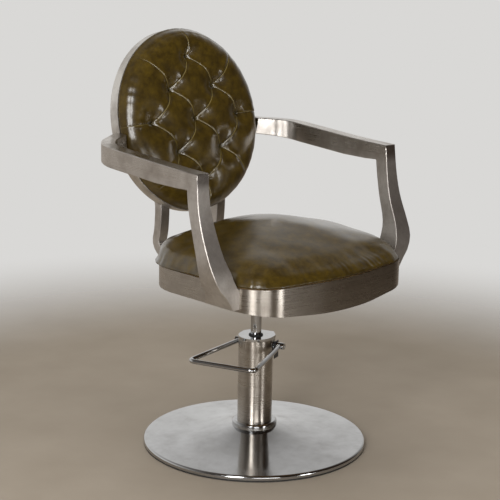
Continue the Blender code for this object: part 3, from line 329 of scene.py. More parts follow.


# Painted brightening: lighter copies of the band's steel tones for the bars and the oval ring.
BRIGHTENED_BAR_TONES = ("#b0aaa3", "#e0dbd5")
BRIGHTENED_OVAL_TONES = ("#c6c1ba", "#eeebe6")
steel_round = brushed_stainless("brushed_steel_round", (ALONG, ALONG, ACROSS), turned=True)
steel_arm = brushed_stainless("brushed_steel_arm", (ACROSS, ALONG, ACROSS), (ACROSS, ACROSS, ALONG),
                              tones=BRIGHTENED_BAR_TONES)
steel_upright = brushed_stainless("brushed_steel_upright", (ACROSS, ACROSS, ALONG), tones=BRIGHTENED_BAR_TONES,
                                  coarse=COARSER)
steel_oval = brushed_stainless("brushed_steel_oval", (ALONG, ACROSS, ALONG), tones=BRIGHTENED_OVAL_TONES,
                               coarse=OVAL_COARSER)
print("line pitch", LINE_PITCH * 1000, "mm")

# %% [markdown]
# ## Chrome
# The foot, the ram and the pedal are nickel and chrome plated. A good plate is a mirror, but years
# of mopping leave a haze and fine dust, so the eye gets soft cloudy reflections. One noise, in
# patches of about 70 mm, moves the colour, the roughness and a slight waviness together. Specks of
# dust, under 5 mm across, only add to the roughness.

# %% Chrome
HAZE_SIZE, DUST_SIZE = 0.070, 0.0045
PLATE_ROUGHNESS = 0.05


def plated_chrome(name, haze):
    material, tree, shader = start_material(name)
    shader.inputs["Metallic"].default_value = 1.0
    spot = add_node(tree, "ShaderNodeTexCoord")
    cloud = add_node(tree, "ShaderNodeTexNoise",
                     {"Scale": 1 / HAZE_SIZE, "Detail": 7.0, "Roughness": 0.66},
                     {"Vector": (spot, "Object")})
    dust = add_node(tree, "ShaderNodeTexNoise", {"Scale": 1 / DUST_SIZE, "Detail": 3.0},
                    {"Vector": (spot, "Object")})
    tone = add_node(tree, "ShaderNodeMix",
                    {"data_type": "RGBA", 6: linear("#c9cacc"), 7: linear("#9a9997")},
                    {0: (cloud, "Fac")})
    tree.links.new(tone.outputs[2], shader.inputs["Base Color"])
    hazy = add_node(tree, "ShaderNodeMapRange",
                    {"From Min": 0.40, "From Max": 0.75, "To Min": PLATE_ROUGHNESS,
                     "To Max": PLATE_ROUGHNESS + haze},
                    {"Value": (cloud, "Fac")})
    dusty = add_node(tree, "ShaderNodeMath", {"operation": "MULTIPLY_ADD", 1: 0.06},
                     {0: (dust, "Fac"), 2: (hazy, "Result")})
    tree.links.new(dusty.outputs[0], shader.inputs["Roughness"])
    bump = add_node(tree, "ShaderNodeBump", {"Strength": 0.03, "Distance": 0.0006},
                    {"Height": (cloud, "Fac")})
    tree.links.new(bump.outputs[0], shader.inputs["Normal"])
    return material


chrome_foot = plated_chrome("hazed_chrome", 0.20)
chrome_pump = plated_chrome("bright_chrome", 0.08)
print("two chromes:", chrome_foot.name, chrome_pump.name)

# %% [markdown]
# ## Olive leathercloth
# The covers are coated cloth with an antiqued finish: a dark olive brown, wiped so that yellower
# patches show through and the edges of folds rub pale. Its surface is glossy with a fine pebble.
# The pebble is about 1 mm across and is drawn at 2 mm so that it shows. The pieces carry two
# attributes of their own. One makes edges pale: rub wear, and on the back's pleat lips also a painted
# highlight. The other is painted shade, darkening creases, tuft points, the seat's tucked foot and seams.

# %% Leathercloth
PEBBLE = 0.0020
PATCH_SIZE, WIPE_SIZE = 0.026, 0.009


def leathercloth(name):
    material, tree, shader = start_material(name)
    spot = add_node(tree, "ShaderNodeTexCoord")
    patches = add_node(tree, "ShaderNodeTexNoise",
                       {"Scale": 1 / PATCH_SIZE, "Detail": 6.0, "Roughness": 0.66},
                       {"Vector": (spot, "Object")})
    wiped = add_node(tree, "ShaderNodeTexNoise",
                     {"Scale": 1 / WIPE_SIZE, "Detail": 4.0, "Roughness": 0.7},
                     {"Vector": (spot, "Object")})
    patch_share = add_node(tree, "ShaderNodeMapRange", {"From Min": 0.36, "From Max": 0.66},
                           {"Value": (patches, "Fac")})
    body = add_node(tree, "ShaderNodeMix",
                    {"data_type": "RGBA", 6: linear("#352807"), 7: linear("#4f3e0b")},
                    {0: (patch_share, "Result")})
    wipe_share = add_node(tree, "ShaderNodeMapRange",
                          {"From Min": 0.45, "From Max": 0.80, "To Max": 0.40},
                          {"Value": (wiped, "Fac")})
    mottled = add_node(tree, "ShaderNodeMix", {"data_type": "RGBA", 7: linear("#2a2009")},
                       {0: (wipe_share, "Result"), 6: (body, 2)})
    # Painted shade: a near-black brown is mixed in where the piece's shade attribute is high.
    painted_shade = add_node(tree, "ShaderNodeAttribute", {"attribute_name": "painted_shade"})
    painted_shade_tone = add_node(tree, "ShaderNodeMix", {"data_type": "RGBA", 7: linear("#171107")},
                    {0: (painted_shade, "Fac"), 6: (mottled, 2)})
    # Pale edges: rub wear, and on the back's pleat lips also a painted highlight.
    wear_and_highlight = add_node(tree, "ShaderNodeAttribute", {"attribute_name": "wear_and_highlight"})
    rubbed_and_highlighted = add_node(tree, "ShaderNodeMix", {"data_type": "RGBA", 7: linear("#a5935a")},
                      {0: (wear_and_highlight, "Fac"), 6: (painted_shade_tone, 2)})
    tree.links.new(rubbed_and_highlighted.outputs[2], shader.inputs["Base Color"])
    gloss = add_node(tree, "ShaderNodeMapRange", {"To Min": 0.33, "To Max": 0.42},
                     {"Value": (patches, "Fac")})
    tree.links.new(gloss.outputs[0], shader.inputs["Roughness"])
    pebbles = add_node(tree, "ShaderNodeTexVoronoi",
                       {"feature": "DISTANCE_TO_EDGE", "Scale": 1 / PEBBLE},
                       {"Vector": (spot, "Object")})
    bump = add_node(tree, "ShaderNodeBump", {"Strength": 0.10, "Distance": 0.0006},
                    {"Height": (pebbles, "Distance")})
    tree.links.new(bump.outputs[0], shader.inputs["Normal"])
    shader.inputs["IOR"].default_value = 1.45
    shader.inputs["Specular IOR Level"].default_value = 0.2
    shader.inputs["Coat Weight"].default_value = 1.0
    shader.inputs["Coat IOR"].default_value = 1.6
    shader.inputs["Coat Roughness"].default_value = 0.25
    return material


leather = leathercloth("olive_leathercloth")
print("pebble", PEBBLE * 1000, "mm")

# %% [markdown]
# ## The small materials
# Bolts and springs are zinc plated, the pedal's stop and the seat's mounting plate are enamelled
# black, the foot's weight is painted iron, the seals are rubber and the boards plywood. Little of
# them shows, so one recipe does for all: two tones mixed by noise at each one's own size, with a
# roughness and a relief that follow the same noise.

# %% Small materials
def two_tone(name, dark, light, size, rough, metallic=0.0, stretch=(1, 1, 1), relief=0.05):
    material, tree, shader = start_material(name)
    shader.inputs["Metallic"].default_value = metallic
    spot = add_node(tree, "ShaderNodeTexCoord")
    along = add_node(tree, "ShaderNodeMapping", {"Scale": stretch}, {"Vector": (spot, "Object")})
    grit = add_node(tree, "ShaderNodeTexNoise", {"Scale": 1 / size, "Detail": 5.0},
                    {"Vector": (along, "Vector")})
    tone = add_node(tree, "ShaderNodeMix",
                    {"data_type": "RGBA", 6: linear(dark), 7: linear(light)}, {0: (grit, "Fac")})
    tree.links.new(tone.outputs[2], shader.inputs["Base Color"])
    uneven = add_node(tree, "ShaderNodeMapRange", {"To Min": rough[0], "To Max": rough[1]},
                      {"Value": (grit, "Fac")})
    tree.links.new(uneven.outputs[0], shader.inputs["Roughness"])
    bump = add_node(tree, "ShaderNodeBump", {"Strength": relief, "Distance": 0.001},
                    {"Height": (grit, "Fac")})
    tree.links.new(bump.outputs[0], shader.inputs["Normal"])
    return material


zinc = two_tone("zinc_plated_steel", "#6f6f6c", "#b4b3ae", 0.006, (0.28, 0.46), 1.0)
enamel = two_tone("black_enamel", "#0d0d0e", "#26262a", 0.010, (0.25, 0.45))
iron = two_tone("painted_cast_iron", "#1b1b1c", "#333231", 0.004, (0.55, 0.75), relief=0.25)
rubber = two_tone("black_rubber", "#121212", "#2a2927", 0.005, (0.6, 0.85), relief=0.10)
plywood = two_tone("birch_plywood", "#8f6a3f", "#c9a878", 0.004, (0.5, 0.7), stretch=(0.08, 1, 1),
                   relief=0.10)
print("small materials:", zinc.name, enamel.name, iron.name, rubber.name, plywood.name)

# %% [markdown]
# ## A finish for every node
# The frame names a material slot for each of its nodes. Each slot gets one of the finishes above,
# apart from the steel bars and the oval ring, whose lines run another way than on the round pieces.

# %% Finishes
slot_finish = {"base_chrome": chrome_foot, "pump_chrome": chrome_pump, "brushed_steel": steel_round,
               "plain_steel": zinc, "black_paint": enamel, "cast_iron": iron, "black_rubber": rubber,
               "plywood": plywood, "olive_leather": leather}
own_finish = {"arm_left": steel_arm, "arm_right": steel_arm, "back_post_left": steel_upright,
              "back_post_right": steel_upright, "back_ring": steel_oval}
node_slot = {name: node.material_slots[0].name.split(".")[0] for name, node in frame["nodes"].items()}
finish_of = {name: own_finish.get(name, slot_finish[slot]) for name, slot in node_slot.items()}
for name, node in frame["nodes"].items():
    node.material_slots[0].material = finish_of[name]
print(len(finish_of), "nodes have a finish")

# %% [markdown]
# ## Making a piece from a mesh
# Each finished mesh becomes an object at the origin, smooth except where two faces meet at a real
# corner. A Weighted Normal modifier keeps wide flat faces flat beside their rounded edges. Real
# edges are never sharp: the grinder breaks them, and that thin rounded line is what catches the
# light. So outward corners get a narrow bevel.

# %% Piece helpers
CORNER = math.radians(38)
body_of_node = {name: body_of(node)[0] for name, node in frame["nodes"].items()}


def stand_for(piece, node_name):
    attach(piece, body_of_node[node_name])
    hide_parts(node_name)


def break_edges(bm, edges, width):
    bmesh.ops.bevel(bm, geom=edges, offset=width, offset_type="OFFSET", segments=2, profile=0.5,
                    affect="EDGES", clamp_overlap=True, material=-1)


def sharp_edges(bm):
    return [e for e in bm.edges if e.is_manifold and e.calc_face_angle() > CORNER]


def finish_piece(bm, name, node_name):
    bmesh.ops.remove_doubles(bm, verts=bm.verts[:], dist=1e-6)
    bmesh.ops.recalc_face_normals(bm, faces=bm.faces[:])
    for face in bm.faces:
        face.smooth = True
    for edge in bm.edges:
        edge.smooth = len(edge.link_faces) < 2 or edge.calc_face_angle() < CORNER
    mesh = bpy.data.meshes.new(name)
    bm.to_mesh(mesh)
    bm.free()
    piece = bpy.data.objects.new(name, mesh)
    bpy.context.scene.collection.objects.link(piece)
    mesh.materials.append(finish_of[node_name])
    even_flats = piece.modifiers.new("even_flats", "WEIGHTED_NORMAL")
    even_flats.keep_sharp = True
    stand_for(piece, node_name)
    return piece


print("ring rides on", body_of_node["back_ring"])

# %% [markdown]
# ## Turned pieces
# The dish of the foot was spun from sheet on a lathe, and the collar, trim and seal were turned. A
# profile drawn on one side of the axis and spun all the way round gives each of them. The steps are
# many, because a mirror shows every flat.

# %% Dish of the foot
TURN_STEPS = 144
GAP = 0.0003
BASE_RADIUS, RIM_HEIGHT, RIM_ROUND = 0.290, 0.0155, 0.006
DISH_HEIGHT, DISH_HOLE, DISH_WALL = 0.050, 0.0475, 0.002
DISH_SLOPE = 0.55
TRIM_TOP = 0.0045


def dish_height(radius):
    flat_radius = BASE_RADIUS - RIM_ROUND
    share = (flat_radius - radius) / (flat_radius - DISH_HOLE)
    return RIM_HEIGHT + (DISH_HEIGHT - RIM_HEIGHT) * (DISH_SLOPE * share + (1 - DISH_SLOPE) * share**3)


def spun(name, profile):
    bm = bmesh.new()
    points = [bm.verts.new((radius, 0, height)) for radius, height in profile]
    edges = [bm.edges.new(pair) for pair in zip(points, points[1:])]
    edges.append(bm.edges.new((points[-1], points[0])))
    bmesh.ops.spin(bm, geom=points + edges, cent=(0, 0, 0), axis=(0, 0, 1), angle=2 * math.pi,
                   steps=TURN_STEPS, use_merge=True)
    return finish_piece(bm, name + "_turned", name)


radii = np.linspace(DISH_HOLE, BASE_RADIUS - RIM_ROUND, 28)
dish_top = [(r, dish_height(r)) for r in radii]
roll = [(BASE_RADIUS - RIM_ROUND + RIM_ROUND * math.sin(t), RIM_HEIGHT - RIM_ROUND * (1 - math.cos(t)))
        for t in np.linspace(0, math.pi / 2, 9)[1:]]
skirt = [(BASE_RADIUS, TRIM_TOP + GAP), (BASE_RADIUS - DISH_WALL, TRIM_TOP + GAP),
         (BASE_RADIUS - DISH_WALL, RIM_HEIGHT - RIM_ROUND)]
dish_under = [(r, dish_height(r) - DISH_WALL) for r in radii[::-1]]
dish = spun("base_dish", dish_top + roll + skirt + dish_under)
print("dish has", len(dish.data.polygons), "faces")

# %% Trim, collar and seal
TRIM_OUT, TRIM_IN, TRIM_FOOT, TRIM_EDGE = 0.2895, 0.2775, 0.0005, 0.0007
COLLAR_OUT, COLLAR_IN, COLLAR_TOP, COLLAR_FOOT = 0.0585, 0.0453, 0.0630, 0.0503
COLLAR_LIP, COLLAR_BEVEL, COLLAR_EDGE, COLLAR_EASE = 0.0540, 0.0036, 0.0009, 0.0003
SEAL_OUT, SEAL_IN, SEAL_TOP, SEAL_FOOT = 0.0185, 0.0143, 0.2931, 0.2906
SEAL_EDGE_UP, SEAL_EDGE_IN = 0.0009, 0.0008
edge_trim = spun("edge_ring", [
    (TRIM_OUT, TRIM_FOOT + TRIM_EDGE), (TRIM_OUT, TRIM_TOP - TRIM_EDGE), (TRIM_OUT - TRIM_EDGE, TRIM_TOP),
    (TRIM_IN, TRIM_TOP), (TRIM_IN, TRIM_FOOT), (TRIM_OUT - TRIM_EDGE, TRIM_FOOT)])
collar = spun("pump_flange", [
    (COLLAR_IN, COLLAR_TOP), (COLLAR_LIP, COLLAR_TOP),
    (COLLAR_LIP + COLLAR_EDGE, COLLAR_TOP - COLLAR_EASE),
    (COLLAR_OUT - COLLAR_EASE, COLLAR_TOP - COLLAR_BEVEL),
    (COLLAR_OUT, COLLAR_TOP - COLLAR_BEVEL - COLLAR_EDGE), (COLLAR_OUT, dish_height(COLLAR_OUT) + GAP),
    (DISH_HOLE, COLLAR_FOOT), (COLLAR_IN, COLLAR_FOOT)])
seal = spun("rod_gland", [
    (SEAL_IN, SEAL_FOOT), (SEAL_OUT, SEAL_FOOT), (SEAL_OUT, SEAL_TOP - SEAL_EDGE_UP),
    (SEAL_OUT - SEAL_EDGE_IN, SEAL_TOP), (SEAL_IN, SEAL_TOP)])
print("turned:", edge_trim.name, collar.name, seal.name)

# %% [markdown]
# ## Copies with rounded edges
# Where the frame's shape is already right, drawing it again would only add mistakes, so the piece is
# a copy of it. The copy's points are merged, its flat triangles become whole faces, and its outward
# corners are broken with a bevel.

# %% Rounded copies
FLAT_ENOUGH = math.radians(0.4)
EDGE_ROUND = {"arm_left": 0.0012, "arm_right": 0.0012, "back_post_left": 0.0012,
              "back_post_right": 0.0012, "seat_band": 0.0006, "pump_cover": 0.0, "pump_head": 0.0008,
              "pivot_shaft": 0.0008, "piston_rod": 0.0, "stop_plate": 0.0005}


def rounded_copy(name, edge_round):
    bm = bmesh.new()
    bm.from_mesh(frame["nodes"][name].data)
    bmesh.ops.remove_doubles(bm, verts=bm.verts[:], dist=1e-5)
    bmesh.ops.dissolve_limit(bm, angle_limit=FLAT_ENOUGH, verts=bm.verts[:], edges=bm.edges[:])
    if edge_round:
        corners = [e for e in bm.edges if e.is_manifold and e.calc_face_angle_signed() > CORNER]
        break_edges(bm, corners, edge_round)
    return finish_piece(bm, name + "_finished", name)


for name, edge_round in EDGE_ROUND.items():
    copy = rounded_copy(name, edge_round)
    print(copy.name, len(copy.data.polygons))

# %% [markdown]
# ## The pump's return spring
# The pedal's cam pushes a plunger into the pump, and a small spring round it pushes it back. A spring
# can't ride on one body: its foot stays on the barrel while its head goes down with the plunger. Here
# it is a copy of the frame's spring with a mesh of its own.

# %% Return spring
spring = rounded_copy("return_spring", 0.0)
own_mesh(spring)

# %% [markdown]
# ## The foot bar
# One chromed rod, bent twice and clamped in the pivot shaft at both ends. A curve with a round bevel
# would do, but here a circle is pushed along its straights by extruding and round its bends by a part
# spin, as a bending bench would do it.

# %% Rod helpers
BEND_STEPS = 8


def push(bm, edges, way):
    made = bmesh.ops.extrude_edge_only(bm, edges=edges)["geom"]
    bmesh.ops.translate(bm, verts=[g for g in made if isinstance(g, bmesh.types.BMVert)], vec=way)
    return [g for g in made if isinstance(g, bmesh.types.BMEdge) and len(g.link_faces) == 1]


def bend(bm, edges, centre, angle):
    geom = edges + list({v for e in edges for v in e.verts})
    made = bmesh.ops.spin(bm, geom=geom, cent=centre, axis=(0, 0, 1), angle=angle, steps=BEND_STEPS)
    return [g for g in made["geom_last"] if isinstance(g, bmesh.types.BMEdge)]


print("a bend takes", BEND_STEPS, "steps")

# %% Foot bar
PEDAL_PLACE = Matrix.Rotation(math.radians(-69.5), 4, "Z") @ Matrix.Translation((0, 0.025, 0.262))
BAR_RADIUS, BAR_BEND, BAR_TAIL, BAR_EDGE = 0.006, 0.014, 0.013, 0.0008
BAR_ROOT, BAR_HALF, BAR_REACH = 0.0574, 0.091, 0.225
bar_root, bar_corner = Vector((BAR_ROOT, 0, 0)), Vector((BAR_HALF, -BAR_REACH, 0))
arm_way = (bar_corner - bar_root).normalized()
cross_way = Vector((-1, 0, 0))
back_way = Vector((arm_way.x, -arm_way.y, 0))
bar_turn = arm_way.angle(cross_way)
tangent = BAR_BEND * math.tan(bar_turn / 2)
bar_end = bar_root - arm_way * BAR_TAIL
inward = Vector((arm_way.y, -arm_way.x, 0))
first_centre = bar_corner - arm_way * tangent + inward * BAR_BEND
second_centre = Vector((-first_centre.x, first_centre.y, 0))

bar_bm = bmesh.new()
facing = Matrix.Translation(bar_end) @ arm_way.to_track_quat("Z", "Y").to_matrix().to_4x4()
ring_verts = bmesh.ops.create_circle(bar_bm, segments=20, radius=BAR_RADIUS, matrix=facing)["verts"]
ring_edges = list({e for v in ring_verts for e in v.link_edges})
ring_edges = push(bar_bm, ring_edges, bar_corner - arm_way * tangent - bar_end)
ring_edges = bend(bar_bm, ring_edges, first_centre, -bar_turn)
ring_edges = push(bar_bm, ring_edges, cross_way * 2 * (BAR_HALF - tangent))
ring_edges = bend(bar_bm, ring_edges, second_centre, -bar_turn)
push(bar_bm, ring_edges, back_way * ((bar_corner - bar_root).length - tangent + BAR_TAIL))
bmesh.ops.holes_fill(bar_bm, edges=[e for e in bar_bm.edges if e.is_boundary])
break_edges(bar_bm, sharp_edges(bar_bm), BAR_EDGE)
bmesh.ops.transform(bar_bm, matrix=PEDAL_PLACE, verts=bar_bm.verts[:])
foot_bar = finish_piece(bar_bm, "foot_bar_bent", "foot_bar")

# %% [markdown]
# ## The oval ring of the back
# A flat steel strip, rolled into an oval and welded. Spinning a profile gives only true circles, so a
# circle is stretched to the oval, extruded to the strip's width and thickened inwards, and its four
# long edges are broken with a bevel.

# %% Oval ring
BACK_PLACE = Matrix.Translation((0, 0.300, 0.812)) @ Matrix.Rotation(math.radians(-13.4), 4, "X")
OVAL_WIDE, OVAL_TALL, STRIP_WIDTH, STRIP_WALL = 0.233, 0.240, 0.030, 0.003
STRIP_EDGE = 0.0007
upright = Matrix.Rotation(math.pi / 2, 4, "X")
ring_bm = bmesh.new()
made = bmesh.ops.create_circle(ring_bm, segments=160, radius=1.0, matrix=upright)
bmesh.ops.scale(ring_bm, vec=(OVAL_WIDE, 1, OVAL_TALL), verts=made["verts"])
push(ring_bm, ring_bm.edges[:], Vector((0, -STRIP_WIDTH, 0)))
bmesh.ops.recalc_face_normals(ring_bm, faces=ring_bm.faces[:])
first_face = ring_bm.faces[:][0]
if first_face.normal.dot(first_face.calc_center_median() * Vector((1, 0, 1))) < 0:
    bmesh.ops.reverse_faces(ring_bm, faces=ring_bm.faces[:])
bmesh.ops.solidify(ring_bm, geom=ring_bm.faces[:], thickness=STRIP_WALL)
break_edges(ring_bm, sharp_edges(ring_bm), STRIP_EDGE)
bmesh.ops.transform(ring_bm, matrix=BACK_PLACE, verts=ring_bm.verts[:])
oval_ring = finish_piece(ring_bm, "back_ring_rolled", "back_ring")

# %% [markdown]
# ## Points of a cover
# The covers are shaped by moving many points at once, which numpy does quickly. Two small curves
# describe most of the moves: a ramp that goes from 0 to 1 over a span, and a hump that is 1 at its
# middle and dies away with distance.

# %% Point helpers
def points_of(mesh):
    flat = np.empty(len(mesh.vertices) * 3)
    mesh.vertices.foreach_get("co", flat)
    return flat.reshape(-1, 3)


def normals_of(mesh):
    flat = np.empty(len(mesh.vertices) * 3)
    mesh.vertices.foreach_get("normal", flat)
    return flat.reshape(-1, 3)


def move_points(mesh, points):
    mesh.vertices.foreach_set("co", np.ascontiguousarray(points, dtype=np.float32).ravel())
    mesh.update()


def ramp(distance, span):
    return np.clip(distance / span, 0, 1)


def hump(distance, spread, power=2):
    return np.exp(-((distance / spread) ** power))


def oval_share(across, up):
    return np.hypot(across / OVAL_WIDE, up / OVAL_TALL)


print("a hump is", round(float(hump(1.0, 1.0)), 3), "of its height one spread away")

# %% [markdown]
# ## Stuffing a cushion
# A cover is cut flat, pulled over foam and stapled underneath, so it swells where nothing holds it.
# It could be sculpted, but simulated cloth finds the swelling by itself. The frame's plain pad is
# copied, remeshed to an even skin, drawn in a little, and blown up as cloth with air pressure inside,
# while the held points stay. How far a point may move is capped.

# %% Skin
SEAT_VOXEL, BACK_VOXEL, PANEL_VOXEL = 0.005, 0.004, 0.003


def skin_of(name, voxel, place=None):
    bm = bmesh.new()
    bm.from_mesh(frame["nodes"][name].data)
    bmesh.ops.remove_doubles(bm, verts=bm.verts[:], dist=1e-5)
    if place:
        bmesh.ops.transform(bm, matrix=place.inverted(), verts=bm.verts[:])
    mesh = bpy.data.meshes.new(name + "_cover")
    bm.to_mesh(mesh)
    bm.free()
    piece = bpy.data.objects.new(name + "_cover", mesh)
    bpy.context.scene.collection.objects.link(piece)
    mesh.remesh_voxel_size = voxel
    bpy.context.view_layer.objects.active = piece
    bpy.ops.object.voxel_remesh()
    print(piece.name, "skin has", len(mesh.vertices), "points")
    return piece


print("skins are even to", SEAT_VOXEL, BACK_VOXEL, PANEL_VOXEL, "m")

# %% Cloth
CLOTH_STEPS = 20


def even_out(mesh, held, rounds):
    bm = bmesh.new()
    bm.from_mesh(mesh)
    free = [vert for vert, weight in zip(bm.verts, held) if weight < 0.5]
    for _ in range(rounds):
        bmesh.ops.smooth_vert(bm, verts=free, factor=0.5, use_axis_x=True, use_axis_y=True,
                              use_axis_z=True)
    bm.to_mesh(mesh)
    bm.free()


def blow_up(piece, held, pressure, cap, draw_in, evening):
    mesh = piece.data
    begin = points_of(mesh) - normals_of(mesh) * (draw_in * (1 - held))[:, None]
    move_points(mesh, begin)
    group = piece.vertex_groups.new(name="held")
    for index, weight in enumerate(held):
        group.add([index], float(weight), "REPLACE")
    cloth = piece.modifiers.new("swell", "CLOTH")
    cloth.settings.quality = 5
    cloth.settings.use_pressure = True
    cloth.settings.uniform_pressure_force = pressure
    cloth.settings.vertex_group_mass = "held"
    cloth.settings.effector_weights.gravity = 0
    cloth.collision_settings.use_collision = False
    scene = bpy.context.scene
    for step in range(1, CLOTH_STEPS + 1):
        scene.frame_set(step)
    swollen = points_of(piece.evaluated_get(bpy.context.evaluated_depsgraph_get()).to_mesh())
    piece.modifiers.remove(cloth)
    scene.frame_set(1)
    away = swollen - begin
    reach = np.linalg.norm(away, axis=1)
    away *= (np.minimum(reach, cap) / np.maximum(reach, 1e-9))[:, None]
    move_points(mesh, begin + away)
    even_out(mesh, held, evening)
    piece.vertex_groups.clear()
    print(piece.name, "moved up to", round(float(reach.max()) * 1000, 1), "mm before the cap")


print("cloth runs for", CLOTH_STEPS, "steps")

# %% Finer mesh, attributes and finish
def subdivided(piece):
    finer = piece.modifiers.new("finer", "SUBSURF")
    finer.levels = finer.render_levels = 1
    evaluated = piece.evaluated_get(bpy.context.evaluated_depsgraph_get())
    mesh = bpy.data.meshes.new_from_object(evaluated)
    piece.modifiers.remove(finer)
    old = piece.data
    piece.data = mesh
    bpy.data.meshes.remove(old)
    return mesh


def give_attribute(mesh, name, values):
    attribute = mesh.attributes.new(name, "FLOAT", "POINT")
    attribute.data.foreach_set("value", np.ascontiguousarray(values, dtype=np.float32))


def finish_cushion(piece, node_name):
    piece.data.materials.clear()
    piece.data.materials.append(leather)
    piece.data.polygons.foreach_set("use_smooth", [True] * len(piece.data.polygons))
    stand_for(piece, node_name)
    print(piece.name, len(piece.data.polygons), "faces")


print("covers are finished in", leather.name)

# %% [markdown]
# ## The seat cushion
# A plain pad, crowned, with a tight rolled front edge that tucks in behind the steel band. The frame's
# pad is a plain dome, so it is first made a little fuller at the sides and flatter at the rear
# corners, as a pad is after years of sitting. Its foot is held where it is stapled to the board, and
# the rest swells. Faint gathers then run up from the tucked edge, and the top gets slow ripples.

# %% Seat shape
SEAT_FOOT = 0.5053
CORNER_SINK, SIDE_LIFT, REAR_LIFT = 0.016, 0.008, 0.003
SINK_ACROSS, SINK_ACROSS_SPREAD, SINK_BACK, SINK_BACK_SPREAD = 0.16, 0.09, 0.04, 0.06
SIDE_FROM, SIDE_SPAN, SIDE_BACK, SIDE_FADE = 0.14, 0.10, 0.03, 0.08
REAR_FROM, REAR_SPAN, REAR_SPREAD = 0.05, 0.06, 0.10
PAD_WALL = 0.05
STAPLED_HEIGHT, STAPLED_FADE = 0.016, 0.012
seat = skin_of("seat_cushion", SEAT_VOXEL)
spots = points_of(seat.data)
aside = np.abs(spots[:, 0])
sink = hump(spots[:, 1] - SINK_BACK, SINK_BACK_SPREAD) * hump(aside - SINK_ACROSS, SINK_ACROSS_SPREAD)
side = ramp(aside - SIDE_FROM, SIDE_SPAN) * ramp(SIDE_BACK - spots[:, 1], SIDE_FADE)
rear = ramp(spots[:, 1] - REAR_FROM, REAR_SPAN) * hump(aside, REAR_SPREAD)
upper = ramp(spots[:, 2] - SEAT_FOOT, PAD_WALL)
spots[:, 2] += upper * (SIDE_LIFT * side + REAR_LIFT * rear - CORNER_SINK * sink)
move_points(seat.data, spots)
held = ramp(SEAT_FOOT + STAPLED_HEIGHT - spots[:, 2], STAPLED_FADE)
blow_up(seat, held, pressure=4.0, cap=0.0045, draw_in=0.004, evening=12)
print("seat top at", round(float(points_of(seat.data)[:, 2].max()), 4), "m")

# %% Seat tuck and gathers
TUCK, TUCK_HEIGHT = 0.0055, 0.007
GATHER, GATHER_HEIGHT, RIPPLE = 0.0004, 0.035, 0.0005
SEAT_MIDDLE = 0.060
SHADED_SHARE, EDGE_SHADE = 0.35, 0.9
mesh = subdivided(seat)
spots, outward = points_of(mesh), normals_of(mesh)
around = np.arctan2(spots[:, 0], -spots[:, 1] - SEAT_MIDDLE)
rise = ramp(spots[:, 2] - SEAT_FOOT, GATHER_HEIGHT)
gather = np.sin(around * 61 + 2.1 * np.sin(around * 13)) * np.sin(around * 17 + 1.0)
ripple = np.sin(spots[:, 0] * 47 + 1.3 * np.sin(spots[:, 1] * 31)) * np.sin(spots[:, 1] * 41 + 0.7)
lift = GATHER * gather * 4 * rise * (1 - rise) + RIPPLE * ripple * rise
tuck = TUCK * hump(spots[:, 2] - SEAT_FOOT, TUCK_HEIGHT) * np.hypot(outward[:, 0], outward[:, 1])
spots[:, :2] += outward[:, :2] * tuck[:, None]
move_points(mesh, spots + outward * lift[:, None])
give_attribute(mesh, "wear_and_highlight", np.zeros(len(spots)))
# Painted shade: the cover is darkened low on its tucked foot, fading out as it rises.
give_attribute(mesh, "painted_shade", np.clip(SHADED_SHARE - rise, 0, 1) * EDGE_SHADE)
finish_cushion(seat, "seat_cushion")

# %% [markdown]
# ## The tufted back
# Nine points of the cover are pulled through the foam, and between them the spare cloth is folded into
# pleats, so the cover stands up in soft diamonds. The frame's hollows are round bowls. Real ones are
# cones that end in a sharp point, so the bowls are filled up to that first. Then the points and pleats
# are held, and the diamonds swell. Last, each pleat is cut in as a crease with a raised lip on one
# side, because the cloth is folded over there. The pleats all bow a little the same way.

# %% Tuft layout
PITCH_ACROSS, PITCH_UP = 0.148, 0.162
FOLD_BOW = 0.0058
tufts = [Vector(((k - (2 - abs(row)) / 2) * PITCH_ACROSS, row * PITCH_UP / 2))
         for row in range(-2, 3) for k in range(3 - abs(row))]
neighbour = 1.01 * math.hypot(PITCH_ACROSS / 2, PITCH_UP / 2)
inner_folds = [(a, b) for i, a in enumerate(tufts) for b in tufts[:i] if (a - b).length < neighbour]
oval_mean = (OVAL_WIDE + OVAL_TALL) / 2
rim_folds = [(a, a.normalized() * oval_mean) for a in tufts if a.length > 0.9 * neighbour]
folds = inner_folds + rim_folds


def beside_fold(flat, start, end, bow):
    along = end - start
    way = np.array(along) / along.length
    across = np.array((-way[1], way[0])) * (-1 if way[1] > 0 else 1)
    share = np.clip((flat - np.array(start)) @ way / along.length, 0, 1)
    nearest = np.array(start) + share[:, None] * np.array(along)
    side = (flat - nearest) @ across
    beyond = np.maximum(np.linalg.norm(flat - nearest, axis=1) - np.abs(side), 0)
    return share, side - bow * across[0] * np.sin(math.pi * share), beyond


def nearest_fold(flat, bow):
    beside = [beside_fold(flat, *ends, bow) for ends in folds]
    return np.min([np.hypot(side, beyond) for share, side, beyond in beside], axis=0)


def nearest_tuft(flat):
    return np.min([np.linalg.norm(flat - np.array(tuft), axis=1) for tuft in tufts], axis=0)


print(len(tufts), "tufts,", len(folds), "pleats")

